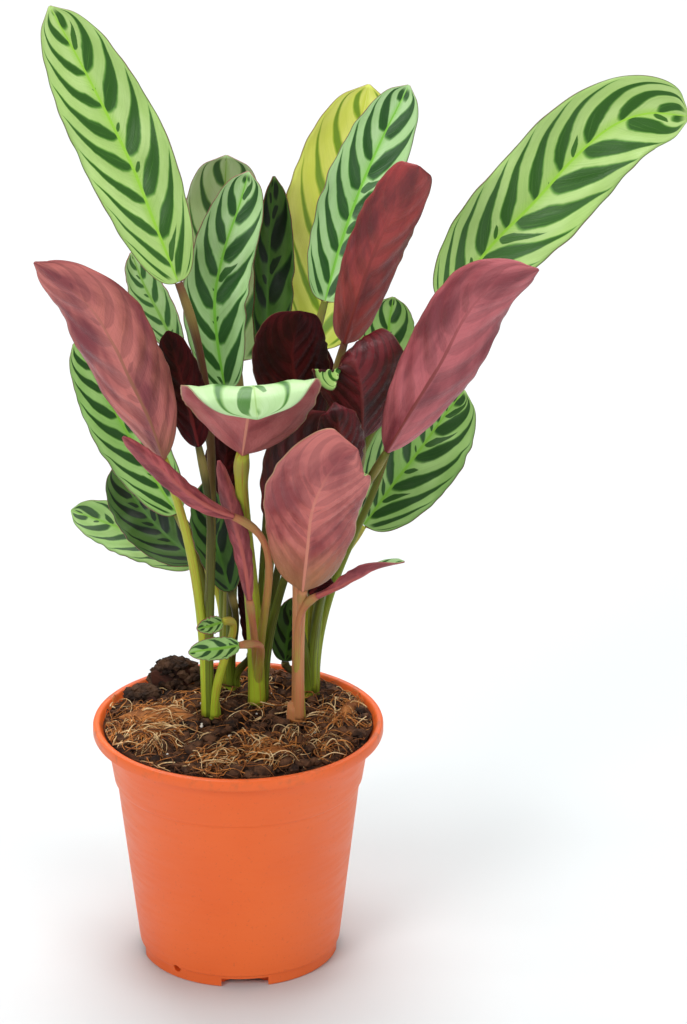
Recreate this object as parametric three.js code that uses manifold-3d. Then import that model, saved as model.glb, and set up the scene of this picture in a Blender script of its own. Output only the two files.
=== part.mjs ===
// Potted ctenanthe in a 12 cm nursery pot. Millimetres, +Z up, the front is -Y.
// The pot stands on z = 0 with its middle on the origin.
import * as THREE from 'three';
import { ConvexGeometry } from 'three/addons/geometries/ConvexGeometry.js';
import { mergeVertices } from 'three/addons/utils/BufferGeometryUtils.js';
import Module from 'manifold-3d';

const wasm = await Module();
wasm.setup();
const { Manifold, Mesh: SolidMesh } = wasm;

// ---------- driving sizes ----------
const GAP = 0.3; // clearance between pieces that touch
const POT = {
  height: 103,
  rimRadius: 60,
  rimDepth: 5,
  wall: 1.4,
  neckRadius: 54.6, // wall just under the rim
  stepHeight: 78.5, // ledge between the collar and the main wall
  collarRadius: 51.4,
  wallRadius: 50.4,
  footRadius: 41,
  footStep: 5,
  segments: 48,
};
const EDGE = {
  slope: 2, // how far the channel's outer side leans
  footDraft: 0.2,
  footLedge: 0.9,
  footRise: 0.6,
  collarRise: 1, // height of the ledge under the collar
  lipIn: 0.7, // rounding under the rim
  lipUp: 0.8,
  crestDown: 1, // rounding over the rim
  crestIn: 0.9,
  crestFlat: 2.2,
  neckDrop: 1,
  floorRound: 2, // rounding between wall and floor inside
  floorDraft: 0.4,
};
const LIP = { inset: 3.2, drop: 1.2 }; // inner edge of the rim, in from its outer top corner
const PAD_RADIUS = 15; // flat pad under the middle of the pot
const CHANNEL = { inner: 17, outer: 34, height: 4 };
const FLOOR_TOP = 5.6;
const DRAIN = { count: 8, radius: 3.5, ring: 25.5, sides: 12 };
const NOTCH = { count: 4, width: 19.5, height: 4, depth: 9, inset: 1.5, turn: 4 };
const SIDE_DRAIN = { radius: 1.7, length: 8, z: 4.6, turn: 128 };
const SOIL = {
  edge: 101,
  crown: 103,
  relief: 0.8,
  rings: 5,
  segments: 32,
  clearance: 1.4, // share of GAP around its edge and its chips
  easeIn: 2.2, // rounding between its side and its underside
  easeNeck: 0.2,
  topBand: 0.01, // how near the edge height counts as its top
  rimBand: 1, // outermost strip that stays level
};
// Humps and hollows of the soil: turns per millimetre along X and Y.
const HUMPS = { x: 0.31, start: 1, y: 0.27, lean: 0.12 };
const PLUG = { bottom: 80, top: 106.4, hole: 40, sink: 2.5, sides: 12 };

const BLADE_THICKNESS = 0.8;
const FRAME_STEPS = 96; // fine steps that carry the blade's facing along its midrib
const TIP_START = 0.965; // where the round end passes into the small point
const FOOT_HALF_WIDTH = 1.3;
const TIP_HALF_WIDTH = 0.45;
const BODY_END = 0.977; // where the round end would close without its point
const BLUNT = 0.38; // how square a blade's ends are; lower is squarer
const FOLD = 0.12; // V at the midrib, in radians
const WAVE_OFFSET = 1.9; // between the waves of the two margins, in radians
const RIB = { height: 0.9, reach: 0.2 }; // midrib under the blade
const END_CROWDING = 0.75; // how far the rows gather towards the blade's two ends
const ROWS = 10;
const ACROSS = [-1, -0.62, -0.1, 0.1, 0.62, 1];
const FRONT = new THREE.Vector3(0, -0.9265, 0.3762); // the side that a leaf with turn 0 shows

// ---------- materials ----------
function material(name, color, roughness) {
  const m = new THREE.MeshStandardMaterial({ color, roughness, metalness: 0 });
  m.name = name;
  return m;
}
const MATERIALS = {
  terracotta: material('terracotta_plastic', 0xd9703f, 0.45),
  soil: material('potting_soil', 0x3b2a20, 0.95),
  husk: material('coir_husk', 0xa9793f, 0.9),
  bark: material('bark', 0x5a3826, 0.9),
  green: material('leaf_green', 0x9cc878, 0.45),
  maroon: material('leaf_maroon', 0x97444f, 0.45),
  yellow: material('leaf_yellow', 0xc9d468, 0.45),
  dark: material('leaf_shade', 0x552026, 0.5),
  stem: material('stem_green', 0x8da53c, 0.5),
  stemTan: material('stem_tan', 0xb98458, 0.5),
};

// ---------- leaves ----------
// path: midrib from the blade's foot to its tip. half: half width. turn: how far the upper side
// is turned from FRONT at the foot, in degrees; 180 shows the underside. twist: further turn by
// the tip. curl: angle in radians from the midrib to the margin, at the foot and at the tip, plus
// where the margins rise on the upper side. fold: V at the midrib. wave: height and count of
// the margin's waves. peak: above 1 is widest nearer the tip. stalk: thickness of its stalk.
const LEAVES = {
  tall_left: {
    path: [[-23, 18, 288], [-32, 24, 310], [-41, 31, 332], [-51, 37, 352], [-62, 42, 373],
      [-74, 46, 395]],
    half: 18.5, turn: 0, twist: 0, curl: [0.35, 0.2], wave: [1.3, 3], stalk: 1.1,
    shoot: 'left', kind: 'green',
  },
  maroon_left: {
    path: [[-29, -8, 222], [-34, -14, 241], [-41, -20, 260], [-48, -26, 279], [-58, -32, 298],
      [-77, -38, 316]],
    half: 17, turn: 172, twist: 0, blunt: 0.5, curl: [0.7, 0.4], wave: [1.8, 3], stalk: 1.2,
    shoot: 'left', kind: 'maroon',
  },
  maroon_top: {
    path: [[44, 8, 266], [49, 4, 285], [55, 0, 305], [63, -4, 325], [73, -9, 346]],
    half: 13, turn: 180, twist: 0, curl: [0.8, 0.7], wave: [1.8, 2], blunt: 0.2, peak: 1.25,
    shoot: 'right', kind: 'maroon',
  },
  maroon_right: {
    path: [[61, -20, 230], [71, -27, 251], [82, -34, 273], [91, -40, 294], [101, -46, 308],
      [119, -52, 318]],
    half: 17, turn: 185, twist: 0, curl: [0.8, 0.5], wave: [2, 3], blunt: 0.48,
    shoot: 'right', kind: 'maroon',
  },
  right: {
    path: [[86, 30, 273], [102, 40, 294], [121, 45, 313], [137, 50, 330], [152, 54, 342],
      [167, 56, 347], [184, 58, 345]],
    half: 21.5, turn: 0, twist: 0, curl: [0.4, 0.2], wave: [1.6, 3], blunt: 0.29,
    shoot: 'right', kind: 'green',
  },
  front_recurved: {
    path: [[3, -10, 225], [5, -24, 243], [7, -38, 260], [8, -50, 269], [9, -60, 269],
      [10, -66, 261]],
    half: 28, turn: 180, twist: 20, curl: [0.6, -0.1], wave: [0.9, 2], fold: 0.03, stalk: 1.8,
    peak: 1.25, blunt: 0.3, shoot: 'centre', kind: 'maroon',
  },
  front_maroon: {
    path: [[27, -4, 163], [29, -18, 187], [31, -32, 209], [36, -42, 226], [42, -46, 236],
      [49, -46, 241]],
    half: 20.5, turn: 180, twist: 0, curl: [0.6, 0.1], wave: [1, 2], peak: 1.35, stalk: 1.2,
    blunt: 0.18, shoot: 'front', kind: 'maroon',
  },
  behind_front: {
    path: [[24, 7, 169], [24, -1, 199], [27, -8, 225], [37, -13, 244]],
    half: 16, turn: 180, twist: 0, curl: [0.6, 0.6], wave: [1, 2], shoot: 'front', kind: 'dark',
  },
  left_green: {
    path: [[-25, 22, 186], [-38, 30, 205], [-50, 36, 225], [-58, 40, 240], [-67, 42, 253]],
    half: 14, turn: 0, twist: 0, curl: [0.4, 0.3], wave: [1, 2], stalk: 1.2,
    shoot: 'left', kind: 'green',
  },
  low_left: {
    path: [[-18, 40, 158], [-31, 46, 167], [-42, 52, 178], [-52, 58, 193]],
    half: 13, turn: 0, twist: 0, curl: [0.4, 0.3], wave: [0.8, 2], shoot: 'back', kind: 'green',
  },
  low_left_back: {
    path: [[-19, 64, 146], [-38, 70, 154], [-55, 76, 159], [-72, 82, 163]],
    half: 11, turn: 0, twist: 0, curl: [0.4, 0.3], wave: [0.8, 2], shoot: 'back', kind: 'green',
  },
  lower_right: {
    path: [[52, 46, 171], [65, 52, 188], [76, 58, 201], [85, 64, 212], [94, 70, 222]],
    half: 20, turn: 0, twist: 0, curl: [0.4, 0.3], wave: [0.8, 2], shoot: 'right', kind: 'green',
  },
  behind_right: {
    path: [[63, 38, 229], [62, 42, 243], [62, 47, 257], [64, 51, 270]],
    half: 13, turn: 0, twist: 0, curl: [0.4, 0.3], wave: [0.8, 2], shoot: 'right', kind: 'green',
  },
  yellow: {
    path: [[32, 64, 243], [38, 73, 272], [44, 82, 301], [50, 90, 327], [54, 96, 347]],
    half: 25, turn: 0, twist: 0, curl: [0.4, 0.3], wave: [1, 2], shoot: 'right', kind: 'yellow',
  },
  centre_top: {
    path: [[36, 32, 275], [42, 38, 296], [50, 44, 318], [59, 50, 338], [70, 56, 359]],
    half: 15, turn: 0, twist: 0, curl: [0.4, 0.3], wave: [1, 2], blunt: 0.34,
    shoot: 'centre', kind: 'green',
  },
  centre_left: {
    path: [[-5, 34, 236], [-8, 38, 255], [-9, 42, 273], [-5, 47, 292], [1, 52, 309], [5, 54, 323]],
    half: 14, turn: 0, twist: 0, curl: [0.5, 0.4], wave: [1, 3], blunt: 0.3,
    shoot: 'back', kind: 'green',
  },
  behind_centre: {
    path: [[-1, 78, 232], [-5, 84, 266], [-6, 90, 294], [-5, 94, 317]],
    half: 19, turn: 0, twist: 0, curl: [0.3, 0.3], wave: [1, 2], blunt: 0.25,
    shoot: 'back', kind: 'green',
  },
  rolled: {
    path: [[13, 50, 226], [12, 56, 258], [13, 62, 288], [15, 66, 317]],
    half: 12, turn: 20, twist: 0, curl: [1.2, 1.1], wave: [0.5, 2], shoot: 'centre', kind: 'green',
  },
  folded_left: {
    path: [[-24, 36, 251], [-31, 40, 265], [-38, 44, 278], [-43, 46, 291]],
    half: 9, turn: 0, twist: 0, curl: [1, 0.8], wave: [0.5, 2],
    shoot: 'back', kind: 'green', rows: 6,
  },
  dark_behind_left: {
    path: [[-15, -2, 225], [-19, 0, 242], [-23, 1, 258], [-27, 2, 273]],
    half: 9, turn: 180, twist: 0, curl: [0.5, 0.5], wave: [0.5, 2],
    shoot: 'left', kind: 'dark', rows: 6,
  },
  dark_left: {
    path: [[30, 6, 231], [25, 2, 248], [23, -2, 266], [26, -5, 284]],
    half: 17, turn: 180, twist: 0, curl: [0.6, 0.5], wave: [0.5, 2], blunt: 0.3,
    shoot: 'centre', kind: 'dark',
  },
  dark_right: {
    path: [[51, -5, 230], [51, -11, 249], [49, -16, 264], [46, -12, 269], [43, -4, 264]],
    half: 20, turn: 180, twist: 0, curl: [0.6, 0.3], wave: [0.5, 2], peak: 1.4, blunt: 0.32,
    shoot: 'right', kind: 'dark',
  },
  dark_low: {
    path: [[44, -14, 214], [43, -21, 231], [41, -28, 248], [40, -24, 252]],
    half: 10, turn: 180, twist: 0, curl: [0.6, 0.5], wave: [0.5, 2],
    shoot: 'right', kind: 'dark', rows: 7,
  },
  dark_middle: {
    path: [[25, 31, 203], [27, 32, 221], [30, 33, 240], [32, 33, 257]],
    half: 12, turn: 180, twist: 0, curl: [0.4, 0.4], wave: [0.5, 2], rows: 6,
    shoot: 'centre', kind: 'dark',
  },
  dark_sheath: {
    path: [[5, 27, 122], [5, 27, 134], [4, 27, 147], [2, 27, 160]],
    half: 5, turn: 180, twist: 0, curl: [0.6, 0.5], wave: [0.3, 2], rows: 5,
    shoot: 'back', kind: 'dark',
  },
  dark_centre: {
    path: [[-4, 24, 178], [-5, 25, 192], [-5, 26, 206], [-3, 26, 222]],
    half: 10, turn: 180, twist: 0, curl: [0.5, 0.5], wave: [0.5, 2], rows: 6,
    shoot: 'back', kind: 'dark',
  },
  tiny_low: {
    path: [[1, -22, 146], [-6, -27, 147], [-12, -31, 148], [-19, -34, 148]],
    half: 5, turn: 0, twist: 0, curl: [0.5, 0.4], wave: [0.3, 2],
    shoot: 'centre', kind: 'green', rows: 6,
  },
  tiny_curled: {
    path: [[-6, -12, 152], [-11, -16, 152], [-16, -19, 152]],
    half: 4, turn: 0, twist: 0, curl: [0.8, 0.8], wave: [0.3, 1],
    shoot: 'left', kind: 'green', rows: 6,
  },
  small_right: {
    path: [[33, -6, 161], [40, -10, 166], [48, -14, 172], [57, -17, 178], [68, -20, 182]],
    half: 4.6, turn: 180, twist: 110, curl: [2.2, 0.4], wave: [0.3, 1], peak: 1.5,
    shoot: 'front', kind: 'maroon', rows: 8,
  },
  twisted: {
    path: [[-1, -16, 200], [-10, -19, 205], [-20, -23, 214], [-31, -28, 227], [-44, -33, 241]],
    half: 4.8, turn: 180, twist: 0, curl: [0.9, 0.9], wave: [0.6, 2],
    shoot: 'centre', kind: 'maroon',
  },
  low_centre: {
    path: [[-3, 11, 156], [-7, 15, 169], [-11, 19, 182], [-14, 23, 199]],
    half: 9, turn: 0, twist: 0, curl: [0.4, 0.3], wave: [0.6, 2],
    shoot: 'back', kind: 'green', rows: 8,
  },
  pink_sheath: {
    path: [[5, 0, 157], [3, -2, 175], [-1, -2, 193], [-7, 0, 218]],
    half: 4.6, turn: 180, twist: 0, curl: [1, 0.8], wave: [0.3, 2],
    shoot: 'centre', kind: 'maroon', rows: 8,
  },
  low_right: {
    path: [[19, 42, 111], [20, 43, 121], [22, 43, 131], [25, 43, 140]],
    half: 8, turn: 0, twist: 0, curl: [0.5, 0.4], wave: [0.3, 2],
    shoot: 'right', kind: 'green', rows: 6,
  },
  dark_oval: {
    path: [[30, 9, 156], [34, 7, 161], [38, 4, 165]],
    half: 5.5, turn: 180, twist: 0, curl: [0.5, 0.4], wave: [0.3, 1],
    shoot: 'right', kind: 'dark', rows: 6,
  },
};

// Each shoot comes out of the soil as one sheathed base and parts into its leaves' stalks.
const SHOOTS = {
  left: { at: [-11, 4], plug: 4.6, kind: 'stem' },
  back: { at: [-4, 35], plug: 5, kind: 'stem' },
  centre: { at: [8, 18], plug: 5.2, kind: 'stem' },
  front: { at: [24, 2], plug: 4.8, kind: 'stemTan' },
  right: { at: [29, 29], plug: 5.2, kind: 'stem' },
};
const STALK = {
  base: 1.9, // radius at the soil
  top: 1.35, // radius under the blade
  taper: 0.8,
  joint: 0.45, // swelling just below the blade
  jointAt: 0.93,
  jointLength: 0.06,
  ring: 0.5, // how far out on the plug a stalk starts
  rise: 0.45, // share of its length that it first goes straight up
  reach: 0.3, // share of its length that it ends in line with the blade
  sides: 6,
  steps: 8,
};
const PLUG_TAPER = 0.9;

// ---------- solids ----------
// The same surface with shared corners and no triangle that has shrunk to a line.
function welded(geometry) {
  geometry.deleteAttribute('normal');
  geometry.deleteAttribute('uv');
  const merged = mergeVertices(geometry);
  const corners = merged.index.array;
  const kept = [];
  for (let i = 0; i < corners.length; i += 3) {
    const [a, b, c] = corners.slice(i, i + 3);
    if (a !== b && b !== c && c !== a) kept.push(a, b, c);
  }
  merged.setIndex(kept);
  return merged;
}

function surface(positions, triangles) {
  const geometry = new THREE.BufferGeometry();
  geometry.setAttribute('position', new THREE.Float32BufferAttribute(positions, 3));
  geometry.setIndex(triangles);
  return geometry;
}

function toSolid(geometry) {
  return new Manifold(new SolidMesh({
    numProp: 3,
    vertProperties: new Float32Array(geometry.attributes.position.array),
    triVerts: new Uint32Array(geometry.index.array),
  }));
}

function fromSolid(solid) {
  const mesh = solid.getMesh();
  return surface(Array.from(mesh.vertProperties), Array.from(mesh.triVerts));
}

function toNode(name, geometry, mat) {
  geometry.computeVertexNormals();
  const node = new THREE.Mesh(geometry, mat);
  node.name = name;
  return node;
}

// A closed turned body about Z from an outline of [radius, z] that starts and ends on the axis.
function turned(outline, segments) {
  const points = outline.map(([r, z]) => new THREE.Vector2(r, z));
  return welded(new THREE.LatheGeometry(points, segments).rotateX(Math.PI / 2));
}

// A rod along Z with its middle on the origin.
function rod(bottomRadius, topRadius, length, sides) {
  return new THREE.CylinderGeometry(topRadius, bottomRadius, length, sides).rotateX(Math.PI / 2);
}

// ---------- pot ----------
function makePot() {
  const p = POT;
  const lipZ = p.height - p.rimDepth;
  const outline = [
    [0, 0], [PAD_RADIUS, 0], [CHANNEL.inner, CHANNEL.height], [CHANNEL.outer, CHANNEL.height],
    [CHANNEL.outer + EDGE.slope, 0], [p.footRadius, 0],
    [p.footRadius + EDGE.footDraft, p.footStep],
    [p.footRadius + EDGE.footLedge, p.footStep + EDGE.footRise],
    [p.wallRadius, p.stepHeight - EDGE.collarRise], [p.collarRadius, p.stepHeight],
    [p.neckRadius, lipZ], [p.rimRadius - EDGE.lipIn, lipZ], [p.rimRadius, lipZ + EDGE.lipUp],
    [p.rimRadius, p.height - EDGE.crestDown], [p.rimRadius - EDGE.crestIn, p.height],
    [p.rimRadius - EDGE.crestFlat, p.height], [p.rimRadius - LIP.inset, p.height - LIP.drop],
    [p.neckRadius - p.wall, lipZ - EDGE.neckDrop], [p.collarRadius - p.wall, p.stepHeight],
    [p.wallRadius - p.wall, p.stepHeight - EDGE.collarRise],
    [p.footRadius - p.wall + EDGE.floorDraft, FLOOR_TOP + EDGE.floorRound],
    [p.footRadius - p.wall - EDGE.floorRound, FLOOR_TOP], [0, FLOOR_TOP],
  ];
  let pot = toSolid(turned(outline, p.segments));
  for (let i = 0; i < NOTCH.count; i += 1) {
    const turn = THREE.MathUtils.degToRad(NOTCH.turn) + (2 * Math.PI * i) / NOTCH.count;
    const cut = new THREE.BoxGeometry(NOTCH.width, NOTCH.depth, NOTCH.height * 2)
      .translate(0, NOTCH.inset - p.footRadius, 0)
      .rotateZ(turn);
    pot = pot.subtract(toSolid(welded(cut)));
  }
  for (let i = 0; i < DRAIN.count; i += 1) {
    const angle = (2 * Math.PI * (i + 0.5)) / DRAIN.count;
    const hole = rod(DRAIN.radius, DRAIN.radius, FLOOR_TOP * 2, DRAIN.sides)
      .translate(DRAIN.ring * Math.cos(angle), DRAIN.ring * Math.sin(angle), FLOOR_TOP + 1);
    pot = pot.subtract(toSolid(welded(hole)));
  }
  const side = rod(SIDE_DRAIN.radius, SIDE_DRAIN.radius, SIDE_DRAIN.length, DRAIN.sides)
    .rotateY(Math.PI / 2)
    .translate(p.footRadius, 0, SIDE_DRAIN.z)
    .rotateZ(-THREE.MathUtils.degToRad(SIDE_DRAIN.turn));
  return fromSolid(pot.subtract(toSolid(welded(side))));
}

// ---------- soil ----------
function soilTop(x, y) {
  const r = Math.hypot(x, y) / POT.neckRadius;
  const crown = SOIL.edge + (SOIL.crown - SOIL.edge) * (1 - r * r);
  return crown + SOIL.relief * Math.sin(x * HUMPS.x + HUMPS.start)
    * Math.cos(y * HUMPS.y - x * HUMPS.lean);
}

function makeSoil(shoots) {
  const p = POT;
  const inset = p.wall + GAP;
  const rimInside = p.neckRadius - inset;
  const neckTop = p.height - p.rimDepth - EDGE.neckDrop;
  const flare = (p.rimRadius - LIP.inset - p.neckRadius + p.wall) / (p.height - LIP.drop - neckTop);
  const edgeRadius = p.neckRadius - p.wall + (SOIL.edge - neckTop) * flare
    - GAP * SOIL.clearance;
  const outline = [
    [0, FLOOR_TOP + GAP], [p.footRadius - inset - SOIL.easeIn, FLOOR_TOP + GAP],
    [p.footRadius - inset + SOIL.easeNeck, FLOOR_TOP + SOIL.easeIn],
    [p.wallRadius - inset, p.stepHeight - EDGE.collarRise],
    [p.collarRadius - inset, p.stepHeight], [rimInside - SOIL.easeNeck, neckTop - SOIL.easeNeck],
    [edgeRadius, SOIL.edge],
  ];
  const rings = SOIL.rings;
  for (let i = rings - 1; i >= 0; i -= 1) outline.push([(edgeRadius * i) / rings, SOIL.edge]);
  const body = turned(outline, SOIL.segments);
  const spots = body.attributes.position;
  for (let i = 0; i < spots.count; i += 1) {
    const [x, y, z] = [spots.getX(i), spots.getY(i), spots.getZ(i)];
    const onTop = z > SOIL.edge - SOIL.topBand
      && Math.hypot(x, y) < rimInside - SOIL.rimBand;
    if (onTop) spots.setZ(i, soilTop(x, y));
  }
  let soil = toSolid(body);
  for (const shoot of Object.values(shoots)) {
    const radius = shoot.plug + GAP;
    const hole = rod(radius, radius, PLUG.hole, PLUG.sides)
      .translate(...shoot.at, PLUG.bottom - GAP + PLUG.hole / 2);
    soil = soil.subtract(toSolid(welded(hole)));
  }
  for (const chip of Object.values(CHIPS)) {
    soil = soil.subtract(toSolid(makeChip(chip, GAP * SOIL.clearance)));
  }
  return fromSolid(soil);
}

// Loose pieces of husk and bark, half sunk in the soil. at, size along, across and up, turn.
const CHIPS = {
  husk_left: { at: [-34, 2], size: [17, 9, 4], turn: 12, kind: 'husk' },
  husk_front: { at: [15, -33], size: [8, 4, 3], turn: 5, kind: 'husk' },
  husk_right: { at: [46, 12], size: [10, 3.5, 3], turn: 70, kind: 'husk' },
  bark_left: { at: [-40, 22], size: [9, 6, 5], turn: -30, kind: 'bark' },
  bark_back: { at: [-27, 37], size: [12, 7, 11], turn: 20, kind: 'bark' },
};

const CHIP = { corners: 18, spin: 2.4, roughness: 0.14, pace: 5.3, rise: 0.25 };

function makeChip(chip, grow) {
  const [along, across, up] = chip.size;
  const points = [];
  for (let i = 0; i < CHIP.corners; i += 1) {
    const lift = Math.asin(1 - (2 * (i + 0.5)) / CHIP.corners);
    const spin = i * CHIP.spin;
    const rough = 1 + CHIP.roughness * Math.sin(i * CHIP.pace);
    points.push(new THREE.Vector3(
      (along * rough + grow) * Math.cos(lift) * Math.cos(spin),
      (across * rough + grow) * Math.cos(lift) * Math.sin(spin),
      (up * rough + grow) * Math.sin(lift)));
  }
  return welded(new ConvexGeometry(points)
    .rotateZ(THREE.MathUtils.degToRad(chip.turn))
    .translate(...chip.at, soilTop(...chip.at) + up * CHIP.rise));
}

// ---------- blades ----------
function lerp(a, b, t) {
  return a + (b - a) * t;
}

function bladeFrames(leaf) {
  const curve = new THREE.CatmullRomCurve3(
    leaf.path.map((p) => new THREE.Vector3(...p)), false, 'catmullrom', 0.5);
  const frames = [];
  let carried = FRONT.clone();
  for (let i = 0; i <= FRAME_STEPS; i += 1) {
    const v = i / FRAME_STEPS;
    const point = curve.getPointAt(v);
    const along = curve.getTangentAt(v);
    carried.addScaledVector(along, -carried.dot(along)).normalize();
    if (i === 0) carried.applyAxisAngle(along, THREE.MathUtils.degToRad(leaf.turn));
    const up = carried.clone().applyAxisAngle(along, THREE.MathUtils.degToRad(leaf.twist) * v);
    const side = along.clone().cross(up);
    frames.push({ v, point, along, up, side });
  }
  return frames;
}

function halfWidth(leaf, v) {
  const blunt = leaf.blunt ?? BLUNT;
  const peak = leaf.peak ?? 1;
  const body = (t) => leaf.half * Math.sin(Math.PI * Math.min(1, t / BODY_END) ** peak) ** blunt;
  if (v <= TIP_START) return Math.max(FOOT_HALF_WIDTH, body(v));
  return lerp(body(TIP_START), TIP_HALF_WIDTH, (v - TIP_START) / (1 - TIP_START));
}

function bladePoint(leaf, frame, u) {
  const v = frame.v;
  const s = Math.abs(u);
  const curl = lerp(leaf.curl[0], leaf.curl[1], v) + 0.001;
  const fold = leaf.fold ?? FOLD;
  const w = halfWidth(leaf, v);
  const across = (w / curl) * (Math.sin(fold + curl * s) - Math.sin(fold));
  const rise = (w / curl) * (Math.cos(fold) - Math.cos(fold + curl * s));
  const phase = 2 * Math.PI * leaf.wave[1] * v + (u < 0 ? WAVE_OFFSET : 0);
  const wave = leaf.wave[0] * Math.sin(phase) * s * s * Math.sin(Math.PI * v);
  return frame.point.clone()
    .addScaledVector(frame.side, Math.sign(u) * across)
    .addScaledVector(frame.up, rise + wave);
}

function rowStations(count) {
  const rows = [];
  for (let j = 0; j <= count; j += 1) {
    const even = j / count;
    const eased = (1 - Math.cos(Math.PI * even)) / 2;
    rows.push(Math.round(FRAME_STEPS * TIP_START * lerp(even, eased, END_CROWDING)));
  }
  rows.push(FRAME_STEPS);
  return rows;
}

function makeBlade(leaf) {
  const frames = bladeFrames(leaf);
  const rows = rowStations(leaf.rows ?? ROWS);
  const grid = rows.map((index) => ACROSS.map((u) => bladePoint(leaf, frames[index], u)));
  const last = rows.length - 1;
  const columns = ACROSS.length;
  const positions = [];
  const halfThick = BLADE_THICKNESS / 2;
  for (const side of [1, -1]) {
    for (let j = 0; j <= last; j += 1) {
      const before = grid[Math.max(0, j - 1)];
      const after = grid[Math.min(last, j + 1)];
      for (let i = 0; i < columns; i += 1) {
        const ahead = after[i].clone().sub(before[i]);
        const acrossRow = grid[j][Math.min(columns - 1, i + 1)].clone().sub(grid[j][Math.max(0, i - 1)]);
        const normal = acrossRow.cross(ahead).normalize();
        const ribbed = side < 0 && Math.abs(ACROSS[i]) < RIB.reach;
        const rib = ribbed ? lerp(RIB.height, 0, frames[rows[j]].v) : 0;
        const q = grid[j][i].clone().addScaledVector(normal, side * (halfThick + rib));
        positions.push(q.x, q.y, q.z);
      }
    }
  }
  const under = columns * (last + 1);
  const triangles = [];
  const quad = (a, b, c, d) => triangles.push(a, b, c, a, c, d);
  for (let j = 0; j < last; j += 1) {
    for (let i = 0; i < columns - 1; i += 1) {
      const a = j * columns + i;
      const b = a + 1;
      const c = b + columns;
      const d = a + columns;
      triangles.push(a, b, c, a, c, d);
      triangles.push(under + a, under + c, under + b, under + a, under + d, under + c);
    }
    const a = j * columns;
    const z = a + columns - 1;
    quad(a, a + columns, under + a + columns, under + a);
    quad(z, under + z, under + z + columns, z + columns);
  }
  for (let i = 0; i < columns - 1; i += 1) {
    quad(i, under + i, under + i + 1, i + 1);
    const a = last * columns + i;
    quad(a, a + 1, under + a + 1, under + a);
  }
  return surface(positions, triangles);
}

// ---------- stalks ----------
function makeStalk(start, leaf) {
  const first = bladeFrames(leaf)[0];
  const foot = first.point.clone().addScaledVector(first.along, -GAP);
  const length = foot.distanceTo(start);
  const curve = new THREE.CubicBezierCurve3(
    start,
    start.clone().add(new THREE.Vector3(0, 0, length * STALK.rise)),
    foot.clone().addScaledVector(first.along, -length * STALK.reach),
    foot);
  const positions = [];
  const triangles = [];
  const { sides, steps } = STALK;
  const scale = leaf.stalk ?? 1;
  let ref = new THREE.Vector3(1, 0, 0);
  for (let j = 0; j <= steps; j += 1) {
    const v = j / steps;
    const centre = curve.getPointAt(v);
    const along = curve.getTangentAt(v);
    ref = ref.clone().addScaledVector(along, -ref.dot(along)).normalize();
    const other = along.clone().cross(ref);
    const swell = STALK.joint * Math.exp(-(((v - STALK.jointAt) / STALK.jointLength) ** 2));
    const radius = scale * (lerp(STALK.base, STALK.top, v ** STALK.taper) + swell);
    for (let i = 0; i < sides; i += 1) {
      const angle = (2 * Math.PI * i) / sides;
      const q = centre.clone()
        .addScaledVector(ref, radius * Math.cos(angle))
        .addScaledVector(other, radius * Math.sin(angle));
      positions.push(q.x, q.y, q.z);
    }
  }
  for (let j = 0; j < steps; j += 1) {
    for (let i = 0; i < sides; i += 1) {
      const a = j * sides + i;
      const b = j * sides + ((i + 1) % sides);
      triangles.push(a, b, b + sides, a, b + sides, a + sides);
    }
  }
  for (let i = 1; i < sides - 1; i += 1) {
    triangles.push(0, i + 1, i);
    const t = steps * sides;
    triangles.push(t, t + i, t + i + 1);
  }
  return toSolid(surface(positions, triangles));
}

function makeShoot(name, shoot) {
  const own = Object.values(LEAVES).filter((leaf) => leaf.shoot === name);
  const depth = PLUG.top - PLUG.bottom;
  const plug = rod(shoot.plug, shoot.plug * PLUG_TAPER, depth, PLUG.sides)
    .translate(...shoot.at, PLUG.bottom + depth / 2);
  let solid = toSolid(welded(plug));
  own.forEach((leaf) => {
    const [x, y] = shoot.at;
    const ring = shoot.plug * STALK.ring;
    const toward = Math.atan2(leaf.path[0][1] - y, leaf.path[0][0] - x);
    const start = new THREE.Vector3(
      x + ring * Math.cos(toward), y + ring * Math.sin(toward), PLUG.top - PLUG.sink);
    solid = solid.add(makeStalk(start, leaf));
  });
  return fromSolid(solid);
}

// ---------- the plant in its pot ----------
const group = new THREE.Group();
group.add(toNode('pot', makePot(), MATERIALS.terracotta));
group.add(toNode('soil', makeSoil(SHOOTS), MATERIALS.soil));
for (const [name, chip] of Object.entries(CHIPS)) {
  group.add(toNode(name, makeChip(chip, 0), MATERIALS[chip.kind]));
}
for (const [name, shoot] of Object.entries(SHOOTS)) {
  group.add(toNode(`stems_${name}`, makeShoot(name, shoot), MATERIALS[shoot.kind]));
}
for (const [name, leaf] of Object.entries(LEAVES)) {
  group.add(toNode(`leaf_${name}`, makeBlade(leaf), MATERIALS[leaf.kind]));
}
export default group;
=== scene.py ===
"""Potted ctenanthe: the looks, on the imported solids. +Z is up and the front is -Y.

Sizes are in millimetres, as in the solids. Shaders, lights, camera and floor are in metres.
"""
import math
import random
from bisect import bisect_right
from types import SimpleNamespace as Record

import bmesh
import bpy
from mathutils import Matrix, Vector, noise


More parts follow.
